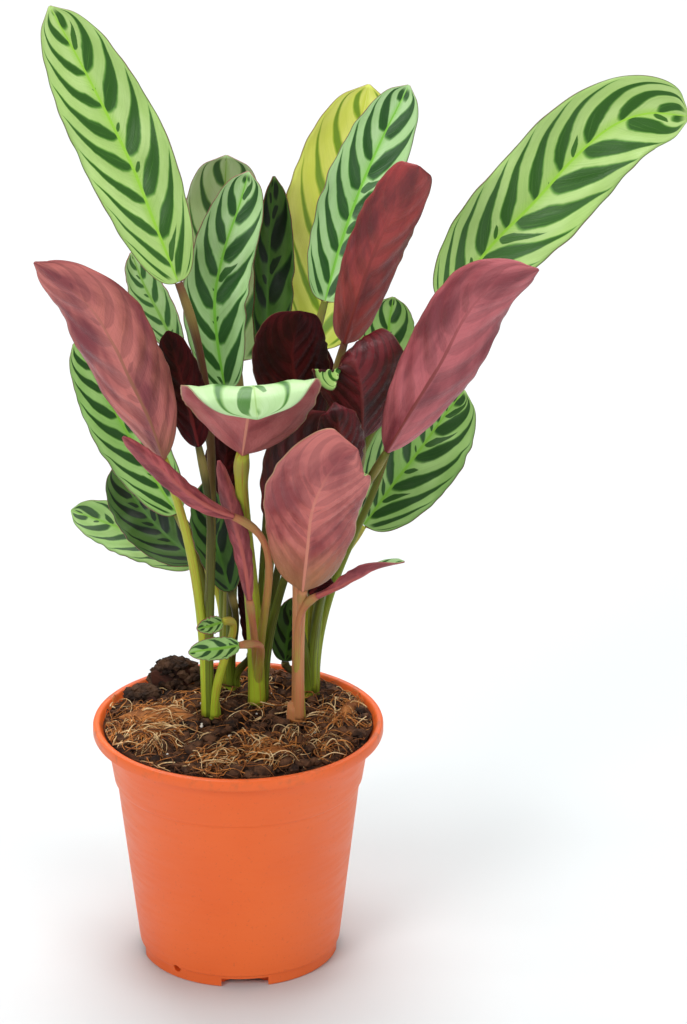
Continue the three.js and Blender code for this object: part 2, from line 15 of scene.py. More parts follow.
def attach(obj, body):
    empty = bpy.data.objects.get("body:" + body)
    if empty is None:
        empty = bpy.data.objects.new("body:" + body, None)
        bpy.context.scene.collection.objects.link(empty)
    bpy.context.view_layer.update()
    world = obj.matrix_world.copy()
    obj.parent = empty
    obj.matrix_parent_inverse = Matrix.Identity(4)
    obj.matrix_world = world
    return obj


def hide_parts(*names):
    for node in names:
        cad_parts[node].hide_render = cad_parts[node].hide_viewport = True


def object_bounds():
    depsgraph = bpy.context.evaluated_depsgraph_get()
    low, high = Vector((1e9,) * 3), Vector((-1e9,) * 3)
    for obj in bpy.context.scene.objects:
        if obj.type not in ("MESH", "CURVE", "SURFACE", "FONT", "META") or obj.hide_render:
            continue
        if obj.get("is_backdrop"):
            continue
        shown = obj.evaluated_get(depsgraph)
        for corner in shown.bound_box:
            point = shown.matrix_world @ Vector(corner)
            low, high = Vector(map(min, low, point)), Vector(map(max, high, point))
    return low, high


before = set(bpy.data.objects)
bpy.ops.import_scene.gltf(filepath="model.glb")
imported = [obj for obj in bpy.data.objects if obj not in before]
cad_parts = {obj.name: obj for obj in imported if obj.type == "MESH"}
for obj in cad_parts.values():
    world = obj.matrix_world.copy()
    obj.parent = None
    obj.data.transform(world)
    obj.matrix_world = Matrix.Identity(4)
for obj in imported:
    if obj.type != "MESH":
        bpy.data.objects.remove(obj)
cad_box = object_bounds()

MM = 0.001
BODY = "root"

# ---------- sizes, as in the solids ----------
POT = Record(height=103, rim=60, rim_depth=5, wall=1.4, neck=54.6, step=78.5, collar=51.4,
             main=50.4, foot=41, foot_step=5)
PAD = 15
CHANNEL = Record(inner=17, outer=34, height=4, slope=2)
FLOOR_TOP = 5.6
DRAIN = Record(count=8, radius=3.5, ring=25.5, z=6, length=12)
NOTCH = Record(count=4, width=19.5, height=4, turn=4, length=9, inset=1.5)
SIDE_DRAIN = Record(radius=1.7, z=4.6, turn=128, length=8)
SOIL = Record(edge=101, crown=103, relief=0.8, radius=55.7, throat=52.8)
HUMPS = Record(x=0.31, shift=1, y=0.27, skew=0.12)  # of the soil, in radians per millimetre
PLUG = Record(bottom=84, top=106.4, sink=2.5, rise=3, sides=36, rings=8)

BLADE_THICKNESS = 0.6
FRAME_STEPS = 96
ACROSS_STEPS = 24
TIP_START = 0.965
TIP_ROUND = 0.012
FOOT_HALF_WIDTH = 1.3
TIP_HALF_WIDTH = 0.45
FRONT = Vector((0, -0.9265, 0.3762))
GAP = 0.3


def lerp(a, b, t):
    return a + (b - a) * t


def around(i, count):
    """The angle of step i of count, round a full turn."""
    return 2 * math.pi * i / count


def on_circle(radius, i, count):
    angle = around(i, count)
    return radius * math.cos(angle), radius * math.sin(angle)


# ---------- shader building ----------
# Colours are tuples of screen values 0-255, here and in the tables below.
def linear(colour):
    def channel(c):
        c /= 255
        return c / 12.92 if c <= 0.04045 else ((c + 0.055) / 1.055) ** 2.4
    return (*map(channel, colour), 1.0)


class Nodes:
    """Short calls that add shader nodes to one material."""

    def __init__(self, name):
        self.mat = bpy.data.materials.new(name)
        self.mat.use_nodes = True
        self.tree = self.mat.node_tree
        self.tree.nodes.clear()
        out = self.tree.nodes.new("ShaderNodeOutputMaterial")
        self.bsdf = self.tree.nodes.new("ShaderNodeBsdfPrincipled")
        self.tree.links.new(self.bsdf.outputs[0], out.inputs[0])

    def put(self, socket, value):
        if isinstance(value, bpy.types.NodeSocket):
            self.tree.links.new(value, socket)
        else:
            socket.default_value = linear(value) if isinstance(value, tuple) else value

    def node(self, kind, values, **settings):
        """A new node's outputs. values: of its inputs, by name or place."""
        node = self.tree.nodes.new(f"ShaderNode{kind}")
        for key, value in settings.items():
            setattr(node, key, value)
        for key, value in values.items():
            self.put(node.inputs[key], value)
        return node.outputs

    def math(self, operation, *values, clamp=False):
        return self.node("Math", dict(enumerate(values)), operation=operation, use_clamp=clamp)[0]

    def add(self, a, b):
        return self.math("ADD", a, b)

    def sub(self, a, b, clamp=False):
        return self.math("SUBTRACT", a, b, clamp=clamp)

    def mul(self, a, b, clamp=False):
        return self.math("MULTIPLY", a, b, clamp=clamp)

    def div(self, a, b):
        return self.math("DIVIDE", a, b)

    def power(self, a, b):
        return self.math("POWER", a, b)

    def mul_add(self, a, b, c):
        return self.math("MULTIPLY_ADD", a, b, c)

    def step(self, x, low, high):
        """Smooth 0 to 1 as x goes from low to high; low may be above high."""
        values = {"Value": x, "From Min": low, "From Max": high}
        return self.node("MapRange", values, interpolation_type="SMOOTHSTEP")[0]

    def mix(self, factor, a, b):
        return self.node("Mix", {0: factor, 6: a, 7: b}, data_type="RGBA")[2]

    def tint(self, colour, mask, strength, other):
        """The colour, turned towards the other one by the mask times the strength."""
        return self.mix(self.mul(mask, strength), colour, other)

    def noise(self, scale, detail, vector, rough=0.5):
        values = {"Scale": scale, "Detail": detail, "Roughness": rough, "Vector": vector}
        return self.node("TexNoise", values)[0]

    def white(self, value):
        return self.node("TexWhiteNoise", {"W": value}, noise_dimensions="1D")[0]

    def object_coords(self):
        return self.node("TexCoord", {})["Object"]

    def split(self, vector):
        return self.node("SeparateXYZ", {0: vector})

    def uv(self):
        """Across and along the piece, and both as one vector."""
        vector = self.node("UVMap", {}, uv_map="blade")[0]
        across, along, _ = self.split(vector)
        return across, along, vector

    def join(self, x, y, z=0.0):
        return self.node("CombineXYZ", {0: x, 1: y, 2: z})[0]

    def bump(self, height, distance, strength):
        values = {"Height": height, "Distance": distance, "Strength": strength}
        self.put(self.bsdf.inputs["Normal"], self.node("Bump", values)[0])

    def finish(self, colour, roughness, specular):
        self.put(self.bsdf.inputs["Base Color"], colour)
        self.put(self.bsdf.inputs["Roughness"], roughness)
        self.bsdf.inputs["Specular IOR Level"].default_value = specular
        return self.mat


# ---------- leaf pattern ----------
# How far the stripes run forward on their way to the margin.
SWEEP = Record(near=0.95, far=1.0, power=3.2)
# The long stripes: spacing and place, how these and the width vary, how a stripe widens from the
# midrib (root, slope, swell) and how it runs out (end, fall, taper).
STRIPE = Record(wobble=0.03, pitch=0.92, extra=0.3, offset=0.46, middle=0.45, shift=0.1,
                uneven=0.07, right=0.05, thin=0.06, root=0.004, slope=4.0, swell=0.55,
                end=0.94, fall=2.6, taper=0.75)
# The short drops between them.
DROP = Record(reach=0.8, extra=0.3, skip=0.46, least=0.02, root=0.012, slope=7.0, swell=0.7,
              half=0.22, deep=0.8)
# Keep the random draws of sides, leaves, and stripes and drops apart.
KEYS = Record(side=37.0, leaf=7.0, shift=0.37, drop_side=11.0, drop_leaf=3.0, drop=0.7)
STRIPE_EDGE = (-0.04, 0.04)
STRIPE_CORE = (0.015, 0.085)
MIDRIB = Record(foot=1.3, narrowing=-0.6, half=0.5, outer=1.5, inner=0.8)
MARGIN = (0.972, 0.99)
VEINS = Record(along=150.0, across=1.5)


def fishbone(n, leaf, seed):
    """Masks of the leaf pattern, from the blade's own coordinates.

    Stripes leave the midrib on each side, curve forward and run out along the margin.
    """
    spacing, aspect = leaf.spacing, leaf.aspect
    x, v, plain = n.uv()
    u = n.mul_add(x, 2.0, -1.0)
    a = n.math("ABSOLUTE", u)
    right = n.math("GREATER_THAN", u, 0.0)
    wobble = n.noise(4.0, 3.0, n.join(n.add(x, seed), n.mul(v, 2.0)))
    sweep = n.add(n.mul(a, SWEEP.near * aspect),
                  n.mul(n.power(a, SWEEP.power), SWEEP.far * aspect))
    along = n.mul_add(n.sub(wobble, 0.5), STRIPE.wobble, n.sub(v, sweep))
    pitch = n.mul_add(right, STRIPE.extra * spacing, STRIPE.pitch * spacing)
    place = n.add(n.mul_add(right, STRIPE.offset, seed), n.div(along, pitch))
    long_edge, core = stripe_masks(n, leaf, seed, a, right, place)
    drop = drop_mask(n, seed, a, right, place)
    ends = n.mul(n.step(v, 0.01, 0.04), n.step(v, 0.99, 0.96))
    stripe = n.mul(n.math("MAXIMUM", long_edge, drop), ends)
    deep = n.mul(n.math("MAXIMUM", core, n.mul(drop, DROP.deep)), ends)
    edge = n.mul(n.mul_add(v, MIDRIB.narrowing, MIDRIB.foot), MIDRIB.half / leaf.half)
    rib = n.step(a, n.mul(edge, MIDRIB.outer), n.mul(edge, MIDRIB.inner))
    lines = n.join(n.mul(along, VEINS.along), n.mul(a, VEINS.across), right)
    return Record(a=a, v=v, plain=plain, stripe=stripe, deep=deep, rib=rib,
                  margin=n.step(a, *MARGIN), veins=n.noise(1.0, 2.0, lines))


def stripe_masks(n, leaf, seed, a, right, place):
    """The long stripes, out to their edge and their dark core."""
    key = n.mul_add(right, KEYS.side, n.add(n.math("FLOOR", place), seed * KEYS.leaf))
    size = n.white(key)
    shift = n.white(n.add(key, KEYS.shift))
    middle = n.mul_add(shift, STRIPE.shift, STRIPE.middle)
    off = n.math("ABSOLUTE", n.sub(n.math("FRACT", place), middle))
    swell = n.power(n.mul(n.sub(a, STRIPE.root), STRIPE.slope, clamp=True), STRIPE.swell)
    fall = n.power(n.div(a, STRIPE.end), STRIPE.fall)
    taper = n.power(n.sub(1.0, fall, clamp=True), STRIPE.taper)
    bold = n.mul_add(right, STRIPE.right, leaf.bold - STRIPE.thin)
    half = n.mul(n.mul(swell, taper), n.mul_add(size, STRIPE.uneven, bold))
    inside = n.sub(half, off)
    return n.step(inside, *STRIPE_EDGE), n.step(inside, *STRIPE_CORE)


def drop_mask(n, seed, a, right, place):
    """The short drops between the long stripes."""
    near = n.math("ROUND", place)
    key = n.mul_add(right, KEYS.drop_side, n.add(near, seed * KEYS.drop_leaf + KEYS.drop))
    off = n.math("ABSOLUTE", n.sub(place, near))
    reach = n.mul_add(n.mul_add(right, DROP.extra, DROP.reach), n.white(key), -DROP.skip)
    root = n.mul(n.sub(a, DROP.root), DROP.slope, clamp=True)
    end = n.sub(1.0, n.div(a, n.math("MAXIMUM", reach, DROP.least)), clamp=True)
    half = n.mul(n.power(n.mul(root, end), DROP.swell), DROP.half)
    return n.step(n.sub(half, off), 0.0, STRIPE_EDGE[1])


UPPER = Record(centre=0.7, edge=0.6, veins=0.16, dark_veins=0.3, rim=0.75, specular=0.4)
UNDER = Record(veins=0.12, foot=0.75, rim=0.7)


def upper_material(name, leaf, seed):
    n = Nodes(f"upper_{name}")
    m = fishbone(n, leaf, seed)
    look = leaf.upper
    patch = n.step(n.noise(3.0, 3.0, m.plain), 0.35, 0.65)
    ground = n.mix(patch, look["ground"], look["ground2"])
    ground = n.tint(ground, n.step(m.a, 0.2, 0.02), UPPER.centre, look["centre"])
    ground = n.tint(ground, n.step(m.a, 0.86, 0.98), UPPER.edge, look["edge"])
    ground = n.tint(ground, n.step(m.veins, 0.45, 0.75), UPPER.veins, look["border"])
    dark_veins = n.step(m.veins, 0.55, 0.75)
    dark = n.tint(look["stripe"], dark_veins, UPPER.dark_veins, look["border"])
    colour = n.mix(m.deep, n.mix(m.stripe, ground, look["border"]), dark)
    colour = n.mix(m.rib, colour, look["rib"])
    colour = n.tint(colour, m.margin, UPPER.rim, look["rim"])
    rough = n.mul_add(n.noise(60.0, 2.0, m.plain), 0.18, 0.3)
    grain = n.mul(n.noise(70.0, 2.0, m.plain), 0.6)
    n.bump(n.add(n.mul(m.veins, 1.0), grain), 0.0002, 0.6)
    return n.finish(colour, rough, UPPER.specular)


def under_material(name, leaf, seed):
    n = Nodes(f"under_{name}")
    m = fishbone(n, leaf, seed)
    look = leaf.under
    patch = n.noise(2.6, 4.0, m.plain)
    colour = n.mix(n.step(patch, 0.36, 0.64), look["skin"], look["skin2"])
    colour = n.tint(colour, m.stripe, look["show"], look["shade"])
    colour = n.tint(colour, n.step(m.veins, 0.4, 0.7), UNDER.veins, look["shade"])
    height = n.add(m.v, n.mul(patch, 0.4))
    lower = n.step(height, look["tan"] + 0.35, look["tan"] - 0.05)
    colour = n.tint(colour, lower, UNDER.foot, look["foot"])
    colour = n.mix(n.mul(m.rib, n.step(m.v, 1.0, 0.2)), colour, look["rib"])
    colour = n.tint(colour, m.margin, UNDER.rim, look["rim"])
    rough = n.mul_add(n.noise(50.0, 2.0, m.plain), 0.15, 0.33)
    grain = n.mul(n.noise(40.0, 2.0, m.plain), 1.0)
    n.bump(n.add(n.mul(m.veins, 0.7), grain), 0.0003, 0.8)
    return n.finish(colour, rough, look["gloss"])


# ---------- leaf colours ----------
# Upper side: the ground in two tones, near the midrib and near the margin, the stripes' border and
# core, midrib and rim. Underside: the skin in two tones, the stripes that show through and how
# much, the foot of the blade and how far up it reaches, midrib and rim.
GREEN = dict(ground=(166, 200, 112), ground2=(182, 212, 132), centre=(156, 202, 80),
             edge=(160, 196, 106), border=(88, 142, 48), stripe=(42, 90, 16),
             rib=(150, 204, 60), rim=(66, 80, 46))
MINT = dict(ground=(166, 206, 138), ground2=(182, 216, 158), centre=(146, 204, 98),
            stripe=(34, 82, 26), border=(78, 136, 54), edge=(146, 186, 118),
            rib=(128, 196, 66), rim=(62, 80, 54))
PALE = dict(ground=(168, 204, 142), ground2=(184, 214, 160), centre=(170, 206, 136),
            stripe=(62, 112, 44), border=(120, 164, 88), edge=(186, 210, 164),
            rib=(150, 186, 110), rim=(138, 130, 96))
SOFT = dict(PALE, ground=(170, 208, 134), ground2=(186, 218, 156), centre=(160, 204, 116),
            rib=(140, 190, 84), stripe=(54, 100, 46), border=(98, 150, 70))
YELLOW = dict(ground=(208, 220, 84), ground2=(222, 230, 116), centre=(196, 212, 52),
              stripe=(112, 150, 26), border=(158, 186, 46), edge=(190, 202, 78),
              rib=(218, 226, 110), rim=(128, 116, 54))
# Painted shade: a darker copy of the green upper side, for leaves that stand partly in shade.
MID = dict(ground=(146, 190, 102), ground2=(166, 204, 124), centre=(128, 186, 70),
           stripe=(32, 74, 20), border=(70, 122, 42), edge=(124, 168, 86),
           rib=(128, 184, 58), rim=(54, 66, 42))
# Painted shade: a dark copy of the green upper side, for leaves that sit deep in shade.
DEEP = dict(ground=(64, 102, 38), ground2=(80, 118, 50), centre=(66, 116, 34),
            stripe=(12, 34, 14), border=(32, 66, 24), edge=(62, 96, 42),
            rib=(74, 122, 38), rim=(38, 46, 28))
MAROON = dict(skin=(182, 88, 92), skin2=(128, 46, 56), shade=(94, 28, 38), show=0.32,
              foot=(160, 96, 76), tan=-0.1, rib=(176, 84, 76), rim=(140, 82, 70), gloss=0.5)
TANNED = dict(MAROON, skin=(208, 116, 110), skin2=(148, 62, 66), foot=(176, 130, 84), tan=0.22,
              rib=(218, 142, 122), rim=(198, 170, 124), show=0.26)
BLUSH = dict(TANNED, skin=(196, 108, 108), skin2=(166, 78, 82), tan=-0.1)
OLIVE = dict(MAROON, skin=(204, 114, 106), foot=(120, 116, 52), tan=0.02, rib=(150, 92, 66))
WINE = dict(MAROON, skin=(194, 100, 106), skin2=(128, 48, 58), rib=(126, 42, 40), show=0.24)
RICH = dict(MAROON, skin=(166, 58, 58), skin2=(108, 30, 36), shade=(80, 20, 28), show=0.22,
            rib=(132, 40, 42))
# Painted shade: SHADE and the one after it are dark copies of the underside for leaves that sit in
# shade, the second a little lighter.
SHADE = dict(skin=(74, 14, 20), skin2=(44, 6, 10), shade=(26, 3, 6), show=0.45,
             foot=(58, 24, 16), tan=-0.1, rib=(92, 26, 28), rim=(128, 92, 68), gloss=0.1)
CLARET = dict(SHADE, skin=(112, 28, 36), skin2=(66, 12, 18), rib=(124, 44, 44), gloss=0.3)


# ---------- leaves: shapes as in the solids, looks of the scene ----------
def leaf_row(shoot, kind, half, curl, wave, path, turn=0, twist=0, fold=0.12, peak=1, blunt=0.38,
             stalk=1, tone="shade", upper=GREEN, under=None, spacing=0.15, bold=0.29):
    """One leaf.

    half: half width. curl: angle in radians from the midrib to the margin, at the foot and at the
    tip, plus where the margins rise on the upper side. wave: height and count of the margin's
    waves. path: midrib from the blade's foot to its tip. turn: how far the upper side is turned
    from FRONT at the foot, in degrees; 180 shows the underside. twist: further turn by the tip.
    fold: V at the midrib. peak: above 1 is widest nearer the tip. blunt: lower is rounder at both
    ends.
    stalk and tone: thickness and colours of its stalk. spacing: of the stripes, as a share of the
    length. bold: half the width of a stripe, as a share of the spacing.
    """
    under = under or (SHADE if kind == "shade" else MAROON)
    return Record(**locals())


LEAVES = {
    "tall_left": leaf_row("left", "green", 18.5, [0.35, 0.2], [1.3, 3], stalk=1.1, tone="brown",
        spacing=0.125, path=[[-23, 18, 288], [-32, 24, 310], [-41, 31, 332], [-51, 37, 352],
        [-62, 42, 373], [-74, 46, 395]]),
    "maroon_left": leaf_row("left", "maroon", 17, [0.7, 0.4], [1.8, 3], turn=172, blunt=0.5,
        stalk=1.2, tone="lime", under=OLIVE, path=[[-29, -8, 222], [-34, -14, 241],
        [-41, -20, 260], [-48, -26, 279], [-58, -32, 298], [-77, -38, 316]]),
    "maroon_top": leaf_row("right", "maroon", 13, [0.8, 0.7], [1.8, 2], turn=180, peak=1.25,
        blunt=0.2, tone="brown", under=RICH, path=[[44, 8, 266], [49, 4, 285], [55, 0, 305],
        [63, -4, 325], [73, -9, 346]]),
    "maroon_right": leaf_row("right", "maroon", 17, [0.8, 0.5], [2, 3], turn=185, blunt=0.48,
        tone="olive", under=WINE, path=[[61, -20, 230], [71, -27, 251], [82, -34, 273],
        [91, -40, 294], [101, -46, 308], [119, -52, 318]]),
    "right": leaf_row("right", "green", 21.5, [0.4, 0.2], [1.6, 3], blunt=0.29, tone="olive",
        spacing=0.128, bold=0.33, path=[[86, 30, 273], [102, 40, 294], [121, 45, 313],
        [137, 50, 330], [152, 54, 342], [167, 56, 347], [184, 58, 345]]),
    "front_recurved": leaf_row("centre", "maroon", 28, [0.6, -0.1], [0.9, 2], turn=180, twist=20,
        fold=0.03, peak=1.25, blunt=0.3, stalk=1.8, tone="lime", upper=PALE, under=BLUSH,
        spacing=0.4, bold=0.13, path=[[3, -10, 225], [5, -24, 243], [7, -38, 260], [8, -50, 269],
        [9, -60, 269], [10, -66, 261]]),
    "front_maroon": leaf_row("front", "maroon", 20.5, [0.6, 0.1], [1, 2], turn=180, peak=1.35,
        blunt=0.18, stalk=1.2, tone="tan", under=TANNED, spacing=0.12, path=[[27, -4, 163],
        [29, -18, 187], [31, -32, 209], [36, -42, 226], [42, -46, 236], [49, -46, 241]]),
    "behind_front": leaf_row("front", "shade", 16, [0.6, 0.6], [1, 2], turn=180, tone="tan",
        under=CLARET, path=[[24, 7, 169], [24, -1, 199], [27, -8, 225], [37, -13, 244]]),
    "left_green": leaf_row("left", "green", 14, [0.4, 0.3], [1, 2], stalk=1.2, tone="olive",
        upper=MID, bold=0.34, path=[[-25, 22, 186], [-38, 30, 205], [-50, 36, 225],
        [-58, 40, 240], [-67, 42, 253]]),
    "low_left": leaf_row("back", "green", 13, [0.4, 0.3], [0.8, 2], tone="lime", upper=DEEP,
        spacing=0.2, bold=0.31, path=[[-18, 40, 158], [-31, 46, 167], [-42, 52, 178],
        [-52, 58, 193]]),
    "low_left_back": leaf_row("back", "green", 11, [0.4, 0.3], [0.8, 2], upper=MID, spacing=0.2,
        bold=0.28, path=[[-19, 64, 146], [-38, 70, 154], [-55, 76, 159], [-72, 82, 163]]),
    "lower_right": leaf_row("right", "green", 20, [0.4, 0.3], [0.8, 2], tone="lime", upper=MID,
        spacing=0.17, bold=0.31, path=[[52, 46, 171], [65, 52, 188], [76, 58, 201], [85, 64, 212],
        [94, 70, 222]]),
    "behind_right": leaf_row("right", "green", 13, [0.4, 0.3], [0.8, 2], tone="olive", upper=MID,
        spacing=0.24, bold=0.3, path=[[63, 38, 229], [62, 42, 243], [62, 47, 257],
        [64, 51, 270]]),
    "yellow": leaf_row("right", "yellow", 25, [0.4, 0.3], [1, 2], tone="lime", upper=YELLOW,
        spacing=0.2, bold=0.2, path=[[32, 64, 243], [38, 73, 272], [44, 82, 301], [50, 90, 327],
        [54, 96, 347]]),
    "centre_top": leaf_row("centre", "green", 15, [0.4, 0.3], [1, 2], blunt=0.34, tone="olive",
        upper=MINT, bold=0.34, path=[[36, 32, 275], [42, 38, 296], [50, 44, 318], [59, 50, 338],
        [70, 56, 359]]),
    "centre_left": leaf_row("back", "green", 14, [0.5, 0.4], [1, 3], blunt=0.3, tone="brown",
        upper=MINT, spacing=0.155, bold=0.32, path=[[-5, 34, 236], [-8, 38, 255], [-9, 42, 273],
        [-5, 47, 292], [1, 52, 309], [5, 54, 323]]),
    "behind_centre": leaf_row("back", "green", 19, [0.3, 0.3], [1, 2], blunt=0.25, upper=SOFT,
        spacing=0.24, bold=0.22, path=[[-1, 78, 232], [-5, 84, 266], [-6, 90, 294],
        [-5, 94, 317]]),
    "rolled": leaf_row("centre", "green", 12, [1.2, 1.1], [0.5, 2], turn=20, upper=DEEP,
        under=SHADE, spacing=0.2, path=[[13, 50, 226], [12, 56, 258], [13, 62, 288],
        [15, 66, 317]]),
    "folded_left": leaf_row("back", "green", 9, [1, 0.8], [0.5, 2], upper=SOFT, spacing=0.2,
        bold=0.24, path=[[-24, 36, 251], [-31, 40, 265], [-38, 44, 278], [-43, 46, 291]]),
    "dark_behind_left": leaf_row("left", "shade", 9, [0.5, 0.5], [0.5, 2], turn=180,
        path=[[-15, -2, 225], [-19, 0, 242], [-23, 1, 258], [-27, 2, 273]]),
    "dark_left": leaf_row("centre", "shade", 17, [0.6, 0.5], [0.5, 2], turn=180, blunt=0.3,
        path=[[30, 6, 231], [25, 2, 248], [23, -2, 266], [26, -5, 284]]),
    "dark_right": leaf_row("right", "shade", 20, [0.6, 0.3], [0.5, 2], turn=180, peak=1.4,
        blunt=0.32, under=CLARET, path=[[51, -5, 230], [51, -11, 249], [49, -16, 264],
        [46, -12, 269], [43, -4, 264]]),
    "dark_low": leaf_row("right", "shade", 10, [0.6, 0.5], [0.5, 2], turn=180, under=CLARET,
        path=[[44, -14, 214], [43, -21, 231], [41, -28, 248], [40, -24, 252]]),
    "dark_middle": leaf_row("centre", "shade", 12, [0.4, 0.4], [0.5, 2], turn=180,
        path=[[25, 31, 203], [27, 32, 221], [30, 33, 240], [32, 33, 257]]),
    "dark_sheath": leaf_row("back", "shade", 5, [0.6, 0.5], [0.3, 2], turn=180, path=[[5, 27, 122],
        [5, 27, 134], [4, 27, 147], [2, 27, 160]]),
    "dark_centre": leaf_row("back", "shade", 10, [0.5, 0.5], [0.5, 2], turn=180,
        path=[[-4, 24, 178], [-5, 25, 192], [-5, 26, 206], [-3, 26, 222]]),
    "tiny_low": leaf_row("centre", "green", 5, [0.5, 0.4], [0.3, 2], tone="blush", upper=MID,
        spacing=0.3, bold=0.26, path=[[1, -22, 146], [-6, -27, 147], [-12, -31, 148],
        [-19, -34, 148]]),
    "tiny_curled": leaf_row("left", "green", 4, [0.8, 0.8], [0.3, 1], tone="lime", upper=MID,
        spacing=0.36, bold=0.26, path=[[-6, -12, 152], [-11, -16, 152], [-16, -19, 152]]),
    "small_right": leaf_row("front", "maroon", 4.6, [2.2, 0.4], [0.3, 1], turn=180, twist=110,
        peak=1.5, tone="blush", upper=MINT, spacing=0.3, path=[[33, -6, 161], [40, -10, 166],
        [48, -14, 172], [57, -17, 178], [68, -20, 182]]),
    "twisted": leaf_row("centre", "maroon", 4.8, [0.9, 0.9], [0.6, 2], turn=180, tone="blush",
        path=[[-1, -16, 200], [-10, -19, 205], [-20, -23, 214], [-31, -28, 227],
        [-44, -33, 241]]),
    "low_centre": leaf_row("back", "green", 9, [0.4, 0.3], [0.6, 2], upper=DEEP, spacing=0.24,
        bold=0.31, path=[[-3, 11, 156], [-7, 15, 169], [-11, 19, 182], [-14, 23, 199]]),
    "pink_sheath": leaf_row("centre", "maroon", 4.6, [1, 0.8], [0.3, 2], turn=180, tone="blush",
        path=[[5, 0, 157], [3, -2, 175], [-1, -2, 193], [-7, 0, 218]]),
    "low_right": leaf_row("right", "green", 8, [0.5, 0.4], [0.3, 2], upper=DEEP, spacing=0.3,
        bold=0.3, path=[[19, 42, 111], [20, 43, 121], [22, 43, 131], [25, 43, 140]]),
    "dark_oval": leaf_row("right", "shade", 5.5, [0.5, 0.4], [0.3, 1], turn=180,
        path=[[30, 9, 156], [34, 7, 161], [38, 4, 165]]),
}

SHOOTS = {
    "left": Record(at=(-11, 4), plug=4.6),
    "back": Record(at=(-4, 35), plug=5),
    "centre": Record(at=(8, 18), plug=5.2),
    "front": Record(at=(24, 2), plug=4.8),
    "right": Record(at=(29, 29), plug=5.2),
}


# ---------- mesh helpers ----------
def add_object(name, data):
    obj = bpy.data.objects.new(name, data)
    bpy.context.scene.collection.objects.link(obj)
    return obj


def new_piece(name, verts, faces, materials, slot, smooth=True):
    mesh = bpy.data.meshes.new(name)
    mesh.from_pydata([tuple(c * MM for c in q) for q in verts], [], faces)
    for mat in materials:
        mesh.materials.append(mat)
    if smooth:
        mesh.polygons.foreach_set("use_smooth", [True] * len(mesh.polygons))
    obj = add_object(name, mesh)
    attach(obj, BODY)
    return obj


def face_outward(mesh):
    bm = bmesh.new()
    bm.from_mesh(mesh)
    bmesh.ops.recalc_face_normals(bm, faces=bm.faces)
    bm.to_mesh(mesh)
    bm.free()


def mark_faces(mesh, kinds, uvs):
    """Give each face its material, and each corner its place on the piece."""
    mesh.polygons.foreach_set("material_index", kinds)
    layer = mesh.uv_layers.new(name="blade")
    for loop in mesh.loops:
        layer.data[loop.index].uv = uvs[loop.vertex_index]


def close_tube(faces, base, rings, sides):
    """Faces of a tube whose rings start at vertex base, and its two end caps."""
    for j in range(rings):
        for i in range(sides):
            a = base + j * sides + i
            b = base + j * sides + (i + 1) % sides
            faces.append((a, b, b + sides, a + sides))
    faces.append(tuple(base + rings * sides + i for i in range(sides)))
    faces.append(tuple(base + sides - 1 - i for i in range(sides)))


def run_lengths(points):
    """The length of the line through the points, up to each of them."""
    run = [0.0]
    for a, b in zip(points, points[1:]):
        run.append(run[-1] + (b - a).length)
    return run


def curve_param(run, s):
    """The curve's own parameter, 0 to 1, at a share s of its length."""
    goal = s * run[-1]
    parts = len(run) - 1
    low = min(bisect_right(run, goal), parts) - 1
    return (low + (goal - run[low]) / (run[low + 1] - run[low])) / parts


class Route:
    """A uniform Catmull-Rom curve through points, read by arc length."""
    PARTS = 200

    def __init__(self, points):
        self.p = [Vector(q) for q in points]
        self.run = run_lengths([self.at(i / self.PARTS) for i in range(self.PARTS + 1)])

    def at(self, t):
        p = self.p
        x = t * (len(p) - 1)
        i = min(int(x), len(p) - 2)
        w = x - i
        a = p[i - 1] if i > 0 else 2 * p[0] - p[1]
        b, c = p[i], p[i + 1]
        d = p[i + 2] if i + 2 < len(p) else 2 * p[-1] - p[-2]
        t0, t1 = (c - a) * 0.5, (d - b) * 0.5
        cubic = 2 * b - 2 * c + t0 + t1
        square = -3 * b + 3 * c - 2 * t0 - t1
        return cubic * w ** 3 + square * w ** 2 + t0 * w + b

    def point(self, s):
        return self.at(curve_param(self.run, s))

    def tangent(self, s):
        e = 0.0001
        return (self.point(min(1, s + e)) - self.point(max(0, s - e))).normalized()


# ---------- blades ----------
WAVE_OFFSET = 1.9  # the left margin's waves run ahead of the right one's, in radians
PLEATS = Record(upper=0.5, under=0.75, full_half=14, power=0.7)
PUCKER = Record(depth=2.2, along=7, across=1.6)
SCALLOP = Record(depth=0.9, along=14, apart=5)
KEEL = Record(foot=0.9, tip=0.1, width=1.1, groove=0.25)  # the raised midrib of the underside
MARGIN_THICKNESS = 0.6
SPREAD = 1.15  # above 1 draws the columns of faces towards the midrib
EASE = 0.75  # how far the stations are drawn to the ends of the blade
UNDERSIDE_TURN = 90  # a blade turned further shows its underside


def blade_frames(leaf):
    """Along the midrib: place, direction, and the blade's up and side directions."""
    route = Route(leaf.path)
    carried = FRONT.copy()
    frames = []
    for i in range(FRAME_STEPS + 1):
        v = i / FRAME_STEPS
        along = route.tangent(v)
        carried = (carried - along * carried.dot(along)).normalized()
        if i == 0:
            carried.rotate(Matrix.Rotation(math.radians(leaf.turn), 3, along))
        up = carried.copy()
        up.rotate(Matrix.Rotation(math.radians(leaf.twist) * v, 3, along))
        frames.append((v, route.point(v), along, up, along.cross(up)))
    return frames


def half_width(leaf, v):
    def body(t):
        wave = math.sin(math.pi * min(1, t / (TIP_START + TIP_ROUND)) ** leaf.peak)
        return leaf.half * max(0, wave) ** leaf.blunt
    if v <= TIP_START:
        return max(FOOT_HALF_WIDTH, body(v))
    return lerp(body(TIP_START), TIP_HALF_WIDTH, (v - TIP_START) / (1 - TIP_START))


